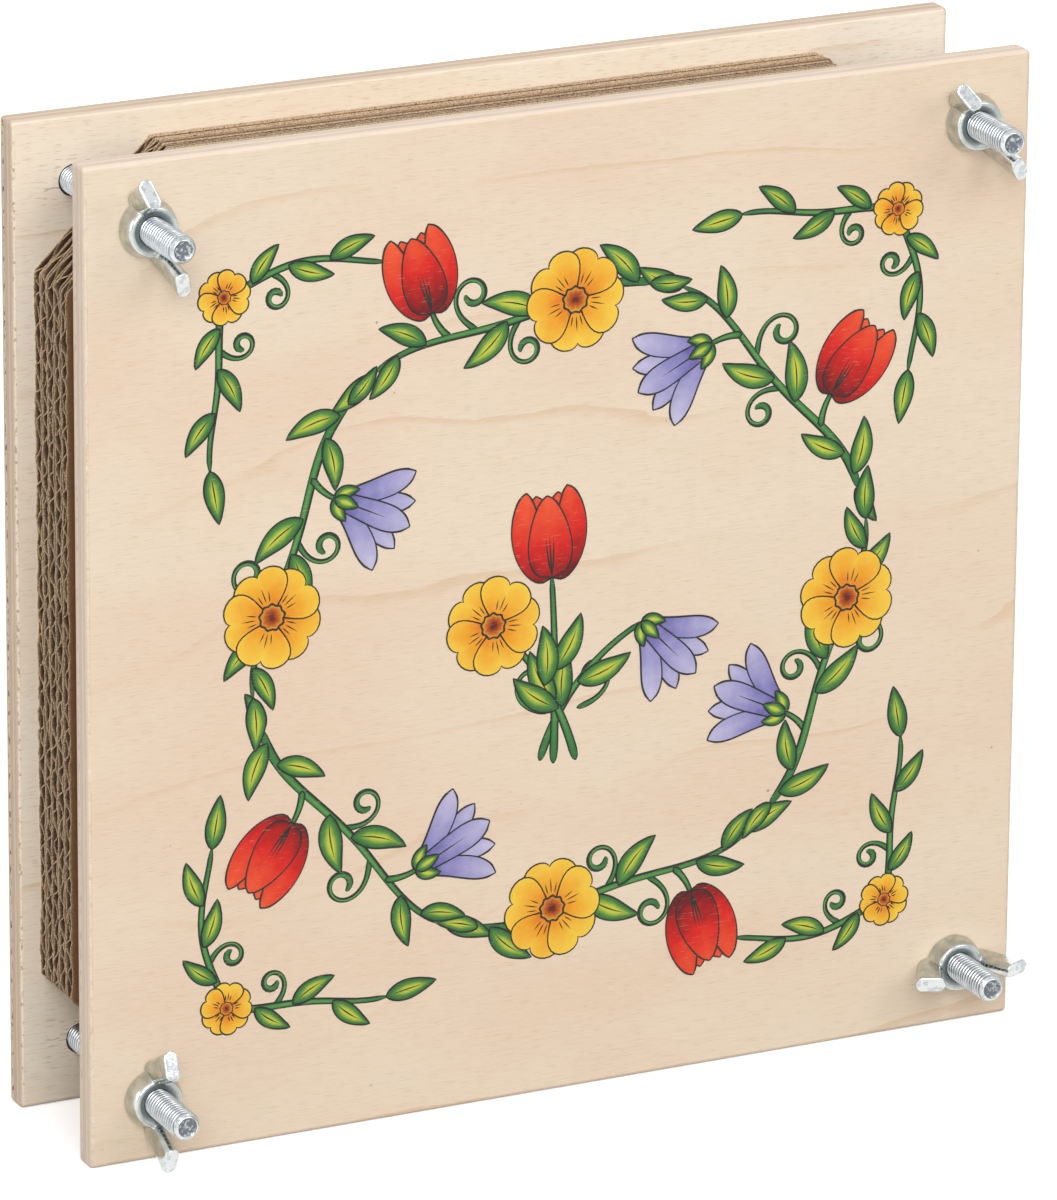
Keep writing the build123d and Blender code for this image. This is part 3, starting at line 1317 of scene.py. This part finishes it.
class Profile(Enum):
    """How the width of a printed stroke runs from its start to its end."""

    VINE = "even, thinning to the end"
    TENDRIL = "thin, with a round end"
    LEAF = "pointed at both ends"
    PETAL = "full, with a blunt end"
    LOBE = "narrow, flaring to a pointed end"

    def widths(self, share: np.ndarray) -> np.ndarray:
        """Width at each share of the length, as a part of the full width.

        Args:
            share: from 0 at the start to 1 at the end.

        Returns:
            The widths.
        """
        ends = np.clip(np.minimum(share, 1 - share) * 40, 0.05, 1) ** 0.5
        if self is Profile.VINE:
            return (1 - 0.55 * share) * ends
        if self is Profile.TENDRIL:
            return (0.9 - 0.5 * np.sin(math.pi * np.clip(share * 1.15, 0, 1))) * ends
        if self is Profile.LEAF:
            return np.maximum(np.sin(math.pi * share**0.78), 0.02)
        if self is Profile.PETAL:
            return np.maximum(np.sin(math.pi * share**0.66), 0.003) ** 0.58
        flare = 0.42 + 0.58 * share**1.4
        return np.maximum(flare * (1 - share**5) ** 0.9, 0.03) * np.clip(share * 9 + 0.25, 0, 1)


@dataclass(frozen=True)
class Stroke:
    """A curved line on the board's face, in millimetres and degrees from the board's middle."""

    start: Flat
    heading: float
    length: float
    bend: float = 0.0
    curl: float = 0.0
    sway: float = 0.0

    def _headings(self, share: np.ndarray) -> np.ndarray:
        """Direction at each share of the length, in radians."""
        turn = self.heading + self.bend * share + self.curl * share**2
        return np.radians(turn + self.sway * np.sin(2 * math.pi * share))

    def trace(self, steps: int) -> np.ndarray:
        """Follow the line in even steps.

        Args:
            steps: how many.

        Returns:
            One point more than steps, as rows of two.
        """
        share = (np.arange(steps) + 0.5) / steps
        angle = self._headings(share)
        hops = np.stack([np.cos(angle), np.sin(angle)], axis=-1) * self.length / steps
        return np.concatenate([[self.start], np.array(self.start) + np.cumsum(hops, axis=0)])

    def at(self, share: float) -> tuple[Flat, float]:
        """Find a place on the line.

        Args:
            share: from 0 at the start to 1 at the end.

        Returns:
            The point, and the direction there in degrees.
        """
        steps = 60
        spot = self.trace(steps)[round(share * steps)]
        return (float(spot[0]), float(spot[1])), math.degrees(float(self._headings(np.array(share))))

    def grown(self, rim: float) -> "Stroke":
        """Make the same line longer at both ends.

        Args:
            rim: by how much.

        Returns:
            The longer line.
        """
        angle = math.radians(self.heading)
        start = (self.start[0] - rim * math.cos(angle), self.start[1] - rim * math.sin(angle))
        return Stroke(start, self.heading, self.length + 2 * rim, self.bend, self.curl, self.sway)


class InkSheet:
    """Thin films of one ink on the front board's face."""

    film = 0.003

    def __init__(self, face: float, middle: Flat) -> None:
        """Start with an empty face.

        Args:
            face: where the board's face lies along Y, in metres.
            middle: the face's middle along X and Z, in metres.
        """
        self.face = face
        self.middle = middle
        self.draft = MeshDraft("shade")

    def _map(self, flat: np.ndarray, height: float) -> np.ndarray:
        """Put flat points on the face.

        Args:
            flat: points from the face's middle, in millimetres.
            height: how far they stand off the face, in millimetres.

        Returns:
            The points in metres.
        """
        x = self.middle[0] + flat[..., 0] * MM
        z = self.middle[1] + flat[..., 1] * MM
        return np.stack([x, np.full_like(x, self.face - height * MM), z], axis=-1)

    def blade(
        self,
        stroke: Stroke,
        width: float,
        profile: Profile,
        level: int,
        tone: float,
        rim: float = 0.0,
    ) -> None:
        """Lay a film along a stroke.

        Args:
            stroke: its middle line.
            width: its full width.
            profile: how the width runs.
            level: how many films lie under it.
            tone: its own shade, about one half.
            rim: how far it reaches past the shape on all sides.
        """
        steps = max(10, int(stroke.length * 1.6))
        line = stroke.grown(rim).trace(steps)
        share = np.linspace(0, 1, steps + 1)
        tangent = np.gradient(line, axis=0)
        tangent /= np.hypot(tangent[:, :1], tangent[:, 1:])
        normal = np.stack([-tangent[:, 1], tangent[:, 0]], axis=-1)
        half = profile.widths(share) * width / 2 + rim * np.clip(np.minimum(share, 1 - share) * 14, 0.15, 1)
        across = np.linspace(-1, 1, 7)
        flat = line[:, None, :] + normal[:, None, :] * (half[:, None] * across)[..., None]
        along = share[:, None] + 0 * across
        values = np.stack([along, abs(across) + 0 * along, np.full_like(along, tone)], axis=-1)
        self.draft.slab(self._map(flat, self.film * (level + 1)), self._map(flat, -self.film), values)

    def fan(self, outline: np.ndarray, apex: Flat, level: int, tone: float) -> None:
        """Lay a film that spreads from a point to an outline.

        Args:
            outline: points round the shape.
            apex: the point that the shade runs from.
            level: how many films lie under it.
            tone: its own shade, about one half.
        """
        shares = np.array([0.2, 0.4, 0.6, 0.8, 1.0])
        rings = np.array(apex) + shares[:, None, None] * (outline - np.array(apex))
        top = self._map(rings, self.film * (level + 1))
        foot = self._map(outline[None], -self.film)
        lean = outline - np.array(apex)
        bearing = np.arctan2(lean[:, 1], lean[:, 0])
        middle = math.atan2(float(lean[:, 1].sum()), float(lean[:, 0].sum()))
        off = abs((bearing - middle + math.pi) % (2 * math.pi) - math.pi) / 0.9
        along = np.concatenate([shares, [1.0]])[:, None] + 0 * off
        values = np.stack([along, np.clip(off, 0, 1) + 0 * along, np.full_like(along, tone)], axis=-1)
        summit = self._map(np.array(apex), self.film * (level + 1))
        base = self._map(np.array(apex), -self.film)
        self.draft.tube(np.concatenate([top, foot]), summit, base, values)


class Ink(Enum):
    """The inks of the print."""

    OUTLINE = "outlines"
    VINE = "vines"
    LEAF = "leaves"
    TULIP = "tulips"
    PRIMROSE = "primroses"
    BELL = "bellflowers"
    HEART = "hearts"

    def finish(self) -> InkFinish:
        """Look up the ink's own colours.

        Returns:
            The finish of the ink.
        """
        black = (paint(20, 26, 22), paint(26, 32, 28), paint(38, 44, 38))
        colours = {
            Ink.OUTLINE: (*black, Shading.FROM_BASE),
            Ink.VINE: (paint(48, 108, 56), paint(70, 132, 66), paint(92, 152, 80), Shading.FROM_RIM),
            Ink.LEAF: (paint(46, 100, 52), paint(84, 140, 62), paint(196, 204, 72), Shading.FROM_RIM),
            Ink.TULIP: (paint(104, 10, 16), paint(218, 36, 30), paint(242, 92, 54), Shading.FROM_BASE),
            Ink.PRIMROSE: (paint(222, 104, 34), paint(242, 164, 40), paint(249, 208, 74), Shading.FROM_BASE),
            Ink.BELL: (paint(86, 82, 156), paint(152, 148, 202), paint(200, 196, 228), Shading.FROM_BASE),
            Ink.HEART: (paint(96, 26, 16), paint(196, 96, 30), paint(240, 190, 60), Shading.FROM_BASE),
        }
        return InkFinish(f"ink_{self.value}", *colours[self])


class PrintedWreath:
    """A round garland of vines, leaves and flowers printed on the front board, with a posy in its middle."""

    radius = 69.0
    corner_reach = 75.0
    sprig_count = 6
    sprig_gap = 7
    petal_turn = 72
    rim = 0.34
    leaf_level = 10
    flower_level = 28

    def __init__(self) -> None:
        """Take the front board's face as the paper."""
        low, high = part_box("front_board")
        middle = ((low.x + high.x) / 2, (low.z + high.z) / 2)
        self.sheets = {ink: InkSheet(low.y, middle) for ink in Ink}
        self.draw = random.Random(24)
        self.vine_count = 0
        self.leaf_count = 0

    def build(self) -> None:
        """Draw every motif and hand over one piece for each ink."""
        for number in range(self.sprig_count):
            self._sprig(number)
        for number in range(4):
            self._corner(number)
        self._posy()
        for ink, sheet in self.sheets.items():
            piece = sheet.draft.make(f"print_{ink.value}", 40.0)
            seat(piece, "front_plate", ink.finish().material())

    def _film(
        self,
        ink: Ink,
        stroke: Stroke,
        width: float,
        profile: Profile,
        level: int,
        tone: float = 0.5,
    ) -> None:
        """Lay a film of ink with its dark outline under it."""
        self.sheets[Ink.OUTLINE].blade(stroke, width, profile, level, tone, self.rim)
        self.sheets[ink].blade(stroke, width, profile, level + 1, tone)

    def _line(self, stroke: Stroke, width: float, level: int) -> None:
        """Draw a thin dark line."""
        self.sheets[Ink.OUTLINE].blade(stroke, width, Profile.LEAF, level, 0.5)

    def _tone(self) -> float:
        """A shade of its own for the next film."""
        return self.draw.uniform(0.25, 0.75)

    def _vine(self, stroke: Stroke, width: float) -> None:
        """Draw a stem, clear of the stems just drawn."""
        self._film(Ink.VINE, stroke, width, Profile.VINE, 2 + 2 * (self.vine_count % 4))
        self.vine_count += 1

    def _leaf(self, start: Flat, heading: float, length: float, bend: float) -> None:
        """Draw a leaf with its midrib, clear of the leaves just drawn.

        Args:
            start: where it grows from.
            heading: its direction there, in degrees.
            length: its length.
            bend: degrees that it turns by up to its tip.
        """
        stroke = Stroke(start, heading, length, bend)
        level = self.leaf_level + 3 * (self.leaf_count % 6)
        self.leaf_count += 1
        self._film(Ink.LEAF, stroke, length * 0.36, Profile.LEAF, level, self._tone())
        rib_start, rib_heading = stroke.at(0.12)
        self._line(Stroke(rib_start, rib_heading, length * 0.68, bend * 0.7), 0.3, level + 2)

    def _tendril(self, start: Flat, heading: float, length: float, hand: int) -> None:
        """Draw a tendril that winds up to one hand."""
        stroke = Stroke(start, heading, length, hand * 30.0, hand * 390.0)
        self._film(Ink.VINE, stroke, 1.0, Profile.TENDRIL, 0)

    def _tulip(self, start: Flat, heading: float, size: float) -> None:
        """Draw a tulip from the side, opening along its heading.

        Args:
            start: where it grows from.
            heading: its direction, in degrees.
            size: its length.
        """
        for turn, bend, length, width, level in (
            (-13, 10, 0.93, 0.40, 0),
            (13, -10, 0.93, 0.40, 2),
            (-40, 52, 1.04, 0.42, 4),
            (40, -52, 1.04, 0.42, 6),
            (0, 0, 0.9, 0.50, 8),
        ):
            stroke = Stroke(start, heading + turn, size * length, bend)
            height = self.flower_level + level
            self._film(Ink.TULIP, stroke, size * width, Profile.PETAL, height, self._tone())
        for step, turn in enumerate((-11, 0, 11)):
            self._line(Stroke(start, heading + turn, size * 0.46, -turn), 0.42, self.flower_level + 10 + step)

    def _primrose(self, centre: Flat, turn: float, size: float) -> None:
        """Draw a five-petalled flower from the front.

        Args:
            centre: its middle.
            turn: the first petal's direction, in degrees.
            size: its width.
        """
        angle = np.linspace(0, 2 * math.pi, 40, endpoint=False)
        wide = 15.0 * np.sin(angle) ** 3
        tall = 13 * np.cos(angle) - 3.2 * np.cos(2 * angle)
        tall = tall - 1.6 * np.cos(3 * angle) - 0.6 * np.cos(4 * angle)
        heart = np.stack([wide, tall + 15.2], axis=-1) / 25.6 * size / 2
        for petal in range(5):
            lean = math.radians(turn + self.petal_turn * petal - 90)
            swing = np.array([[math.cos(lean), math.sin(lean)], [-math.sin(lean), math.cos(lean)]])
            outline = heart @ swing
            away = outline - outline.mean(0)
            wider = outline + away / np.hypot(away[:, :1], away[:, 1:]) * self.rim
            step = self.flower_level + 2 * petal
            self.sheets[Ink.OUTLINE].fan(wider + centre, centre, step, 0.5)
            self.sheets[Ink.PRIMROSE].fan(outline + centre, centre, step + 1, self._tone())
            level = self.flower_level + 10
            for side in (-13, 0, 13):
                heading = turn + self.petal_turn * petal + side
                spot = Stroke(centre, heading, size * 0.17).at(1.0)[0]
                length = size * (0.17 - abs(side) * 0.004)
                self._line(Stroke(spot, heading, length), 0.26, level)
        for radius, ink, tone, step in ((0.145, Ink.OUTLINE, 0.5, 11), (0.12, Ink.HEART, 0.2, 12)):
            disc = np.stack([np.cos(angle), np.sin(angle)], axis=-1) * size * radius
            disc = disc * (1 + 0.07 * np.sin(9 * angle))[:, None]
            self.sheets[ink].fan(disc + centre, centre, self.flower_level + step, tone)

    def _bell(self, start: Flat, heading: float, size: float) -> None:
        """Draw a bellflower from the side, hanging along its heading.

        Args:
            start: where it grows from.
            heading: its direction, in degrees.
            size: its length.
        """
        for turn, bend, length, width, level in (
            (-9, -16, 0.98, 0.34, 0),
            (9, 16, 0.98, 0.34, 2),
            (-24, -26, 1.0, 0.38, 4),
            (24, 26, 1.0, 0.38, 6),
            (0, 0, 1.0, 0.44, 8),
        ):
            stroke = Stroke(start, heading + turn, size * length, bend)
            self._film(Ink.BELL, stroke, size * width, Profile.LOBE, self.flower_level + level, self._tone())
        self._line(Stroke(start, heading, size * 0.7), 0.36, self.flower_level + 10)
        for step, turn in enumerate((-62, 62, 0)):
            cap = Stroke(start, heading + turn, size * 0.3, -turn * 0.7)
            self._film(Ink.LEAF, cap, size * 0.14, Profile.LEAF, self.flower_level + 11 + 2 * step, 0.4)

    def _flower(self, kind: Ink, start: Flat, heading: float, size: float) -> None:
        """Draw one flower.

        Args:
            kind: the ink that it is known by.
            start: where it grows from.
            heading: its direction, in degrees.
            size: its length.
        """
        if kind is Ink.TULIP:
            self._tulip(start, heading, size)
        elif kind is Ink.BELL:
            self._bell(start, heading, size)
        else:
            self._primrose(start, heading, size * 1.12)

    def _sprig(self, number: int) -> None:
        """Draw one of the garland's sprigs: a vine with leaves, two tendrils and two flowers.

        Args:
            number: which sprig, from 0.
        """
        span = 360 / self.sprig_count
        sweep = span - self.sprig_gap
        angle = number * span + 14
        start = (self.radius * math.cos(math.radians(angle)), self.radius * math.sin(math.radians(angle)))
        vine = Stroke(start, angle + 90, math.radians(sweep) * self.radius, sweep, 0.0, 16.0)
        self._vine(vine, 1.5)
        for share, turn, length, bend in (
            (0.05, -52, 12.0, 34),
            (0.14, 48, 11.0, -30),
            (0.40, -50, 13.0, 32),
            (0.52, 52, 12.5, -34),
            (0.80, -44, 11.0, 30),
            (0.90, 42, 10.0, -26),
            (1.0, 6, 11.0, -20),
            (0.0, 176, 9.0, 24),
        ):
            spot, way = vine.at(share)
            self._leaf(spot, way + turn + self.draw.uniform(-7, 7), length, bend)
        spot, way = vine.at(0.62)
        self._tendril(spot, way - 38, 25.0, -1)
        spot, way = vine.at(0.46)
        self._tendril(spot, way + 40, 22.0, 1)
        pairs = ((Ink.TULIP, Ink.BELL), (Ink.PRIMROSE, Ink.TULIP), (Ink.BELL, Ink.PRIMROSE))
        first, second = pairs[number % 3]
        for kind, share in ((first, 0.26), (second, 0.72)):
            spot, way = vine.at(share)
            hand = -1 if kind is Ink.TULIP else 1
            stalk = Stroke(spot, way + hand * 46, 7.0 if kind is not Ink.PRIMROSE else 1.0, hand * 34)
            self._vine(stalk, 1.1)
            end, lean = stalk.at(1.0)
            self._flower(kind, end, lean, 18.0)

    def _corner(self, number: int) -> None:
        """Draw a corner's flower and its pair of small stems, inside the nut's reach.

        Args:
            number: which corner, from 0 at the upper right and on anticlockwise.
        """
        side = 1 if number in (0, 3) else -1
        level = 1 if number in (0, 1) else -1
        base = (side * self.corner_reach, level * self.corner_reach)
        bearing = math.degrees(math.atan2(level, side))
        for hand in (1, -1):
            stem = Stroke(base, bearing + hand * 118, 36.0, hand * 24, 0.0, 10.0)
            self._vine(stem, 1.2)
            for share, turn, length in (
                (0.18, -44, 9.0),
                (0.42, 42, 10.0),
                (0.66, -40, 10.0),
                (1.0, 4, 11.0),
            ):
                spot, way = stem.at(share)
                self._leaf(spot, way + hand * turn, length, -hand * turn * 0.6)
            spot, way = stem.at(0.3)
            self._tendril(spot, way + hand * 46, 17.0, hand)
        self._primrose(base, bearing, 10.5)

    def _posy(self) -> None:
        """Draw three crossed stems with a flower each in the middle of the garland."""
        for kind, start, heading, length, bend, size in (
            (Ink.TULIP, (-2.0, -33.0), 88, 40.0, 6, 19.0),
            (Ink.PRIMROSE, (3.0, -33.0), 104, 37.0, 34, 17.5),
            (Ink.BELL, (-5.0, -32.0), 74, 36.0, -50, 17.5),
        ):
            stem = Stroke(start, heading, length, bend)
            self._vine(stem, 1.4)
            for share, turn in ((0.34, 42), (0.5, -44)):
                spot, way = stem.at(share)
                self._leaf(spot, way + turn, 12.5, -turn * 0.7)
            end, way = stem.at(1.0)
            self._flower(kind, end, way - (70 if kind is Ink.BELL else 0), size)
        self._tendril((-3.5, -22.0), 168, 24.0, -1)
        self._tendril((3.5, -22.0), 12, 24.0, 1)


@dataclass(frozen=True)
class Lamp:
    """A soft square lamp: its place and side in metres, and its power in watts."""

    name: str
    place: tuple[float, float, float]
    side: float
    power: float


@dataclass
class Studio:
    """The camera, the light and the white floor; metres and degrees."""

    camera_place: tuple[float, float, float] = (-0.7890, -1.61975, 0.7173)
    yaw: float = 25.94
    pitch: float = 18.85
    roll: float = -0.46
    lens: float = 280.02
    sensor_width: float = 36.0
    sky: float = 0.6
    horizon: float = 0.48
    low_tint: Colour = (1.0, 0.9, 0.79, 1.0)
    lamps: tuple[Lamp, ...] = (
        Lamp("key_light", (0.95, -1.5, 1.25), 1.0, 7.2),
        Lamp("soft_light", (-0.8, -1.75, 1.15), 1.3, 23.5),
        Lamp("fill_light", (-2.2, 0.1, 0.7), 1.2, 7.0),
        Lamp("back_light", (0.7, 1.9, 1.2), 2.4, 13.0),
    )
    press_middle: tuple[float, float, float] = (0.0, 0.0, 0.105)
    floor_half: float = 12.0
    floor_glow: float = 0.45

    def build(self) -> None:
        """Set up the picture's view, light and floor."""
        self._camera()
        self._world()
        for lamp in self.lamps:
            self._hang(lamp)
        self._floor()
        bpy.context.scene.view_settings.view_transform = "Standard"

    def _camera(self) -> None:
        """Look at the press as the photograph does."""
        yaw, pitch, roll = (math.radians(angle) for angle in (self.yaw, self.pitch, self.roll))
        ahead = Vector((math.sin(yaw) * math.cos(pitch), math.cos(yaw) * math.cos(pitch), -math.sin(pitch)))
        right = Vector((math.cos(yaw), -math.sin(yaw), 0))
        down = ahead.cross(right)
        side = math.cos(roll) * right + math.sin(roll) * down
        top = math.sin(roll) * right - math.cos(roll) * down
        data = bpy.data.cameras.new("camera")
        data.lens = self.lens
        data.sensor_width = self.sensor_width
        camera = bpy.data.objects.new("camera", data)
        turn = Matrix((side, top, -ahead)).transposed().to_4x4()
        camera.matrix_world = Matrix.Translation(self.camera_place) @ turn
        bpy.context.scene.collection.objects.link(camera)
        bpy.context.scene.camera = camera

    @staticmethod
    def _seen(bench: Bench) -> Wire:
        """Tell the rays that show the background itself: straight, mirrored or through glass.

        Args:
            bench: where the nodes go.

        Returns:
            1 for those rays and 0 for others.
        """
        seen = bench.node("LightPath", out="Is Camera Ray")
        outputs = seen.socket.node.outputs
        for name in ("Is Glossy Ray", "Is Transmission Ray"):
            seen = seen.most(Wire(bench.tree, outputs[name]))
        return seen

    def _world(self) -> None:
        """Light the press evenly from all round in front of white."""
        world = bpy.data.worlds.new("studio")
        bpy.context.scene.world = world
        world.use_nodes = True
        bench = Bench(world.node_tree)
        _, _, height = bench.split(bench.node("TexCoord", out="Generated"))
        glow = self.horizon + height.ease(0.0, 0.9) * (self.sky - self.horizon)
        seen = self._seen(bench)
        strength = glow * (1 - seen) + seen
        tint = bench.mix(seen.most(height.ease(0.2, 0.8)), self.low_tint, (1.0, 1.0, 1.0, 1.0))
        sky = bench.node("Background", sockets={"Color": tint, "Strength": strength})
        bench.node("OutputWorld", sockets={"Surface": sky})

    def _hang(self, lamp: Lamp) -> None:
        """Hang a lamp so that it faces the middle of the press.

        Args:
            lamp: the lamp.
        """
        data = bpy.data.lights.new(lamp.name, "AREA")
        data.size = lamp.side
        data.energy = lamp.power
        hung = bpy.data.objects.new(lamp.name, data)
        hung.location = lamp.place
        aim = Vector(self.press_middle) - Vector(lamp.place)
        hung.rotation_mode = "QUATERNION"
        hung.rotation_quaternion = aim.to_track_quat("-Z", "Y")
        bpy.context.scene.collection.objects.link(hung)

    def _floor(self) -> None:
        """Lay a white floor that keeps the press's shadow."""
        mesh = bpy.data.meshes.new("floor")
        half = self.floor_half
        corners = [(-half, -half, 0), (half, -half, 0), (half, half, 0), (-half, half, 0)]
        mesh.from_pydata(corners, [], [(0, 1, 2, 3)])
        floor = bpy.data.objects.new("floor", mesh)
        bpy.context.scene.collection.objects.link(floor)
        bench, material = Bench.for_material("white_floor")
        dim = bench.node("BsdfDiffuse", sockets={"Color": (0.4, 0.4, 0.4, 1.0)})
        white = bench.node("BsdfDiffuse", sockets={"Color": (0.92, 0.92, 0.92, 1.0)})
        glow = bench.node("Emission", sockets={"Color": (1.0, 1.0, 1.0, 1.0), "Strength": self.floor_glow})
        lit = bench.node("AddShader", sockets={0: white, 1: glow})
        both = bench.node("MixShader", sockets={0: self._seen(bench), 1: dim, 2: lit})
        bench.node("OutputMaterial", sockets={"Surface": both})
        mesh.materials.append(material)


class Press:
    """The whole press, dressed piece by piece."""

    nut_spins = (110.0, 126.0, 89.0, 1.0)
    pinches = (3.9, 3.4, 1.7, 3.0, 1.8)
    flute_starts = (0.0, 2.6, 4.5, 1.3, 3.7)
    leaf_of_paper = (1, 2, 2, 3, 3, 4, 4, 5)
    card_side = 200.0
    card_splay = 0.2

    def build(self) -> None:
        """Dress the boards, then the metal, the stack and the print."""
        self._boards()
        self._metal()
        self._stack()
        PrintedWreath().build()

    def _boards(self) -> None:
        """Give both boards their own veneer."""
        # the rear board's faces are paler, partly as painted light on a face that the front board shades
        rear_colours = {
            "cream": paint(252, 243, 227),
            "peach": paint(249, 235, 215),
            "long_ply": paint(226, 207, 187),
            "end_ply": paint(206, 182, 157),
            "glue": paint(150, 122, 96),
        }
        for name, place, cut, grain, splits, colours in (
            ("rear_board", (310.0, 40.0, 170.0), 0.95, 0.42, 0.6, rear_colours),
            ("front_board", (-220.0, 5.0, 420.0), 0.25, 0.26, 0.0, {}),
        ):
            low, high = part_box(name)
            depth = high.y - low.y
            finish = PlywoodFinish(f"{name}_plywood", low.y, depth, place, cut, grain, splits, **colours)
            wear_finish(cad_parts[name], finish.material())
            LOG.info("%s keeps its solid", name)

    def _metal(self) -> None:
        """Thread the bolts and set the nuts on them."""
        bolt_zinc = ZincFinish(
            "bolt_zinc",
            bright=paint(200, 205, 208),
            dull=paint(174, 179, 183),
            sheen=0.16,
            skin_depth=0.02,
            grime_and_shade_colour=paint(46, 51, 55),
        ).material()
        nut_zinc = ZincFinish(
            "nut_zinc",
            bright=paint(208, 213, 209),
            dull=paint(178, 185, 182),
            sheen=0.13,
            skin_depth=0.02,
            grime_and_shade_colour=paint(134, 148, 154),
        ).material()
        nut = WingNut()
        casting = nut.build()
        for number, spin in enumerate(self.nut_spins, start=1):
            bolt = CarriageBolt(number).build()
            seat(bolt, "rear_frame", bolt_zinc, f"carriage_bolt_{number}")
            placed = nut.place(casting, number, spin)
            seat(placed, f"wing_nut_{number}", nut_zinc, f"wing_nut_{number}")
        bpy.data.objects.remove(casting)

    def _stack(self) -> None:
        """Lay the cards and papers that the boards press."""
        kraft = KraftFinish("kraft", self.card_side / CorrugatedCard.wave_count).material()
        for number, (pinch, flute_start) in enumerate(zip(self.pinches, self.flute_starts), start=1):
            splay_back = self.card_splay if number > 1 else 0.0
            splay_front = self.card_splay if number < len(self.pinches) else 0.0
            card = CorrugatedCard(number, splay_back, splay_front, pinch, flute_start).build()
            seat(card, f"leaf_{number}", kraft, f"corrugated_card_{number}")
        blotting = BlottingFinish("blotting").material()
        for number, leaf in enumerate(self.leaf_of_paper, start=1):
            paper = BlottingPaper(number).build()
            seat(paper, f"leaf_{leaf}", blotting, f"blotting_paper_{number}")


def main() -> None:
    """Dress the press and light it."""
    logging.basicConfig(level=logging.INFO, format="%(name)s: %(message)s")
    Press().build()
    Studio().build()


if __name__ == "__main__":
    main()
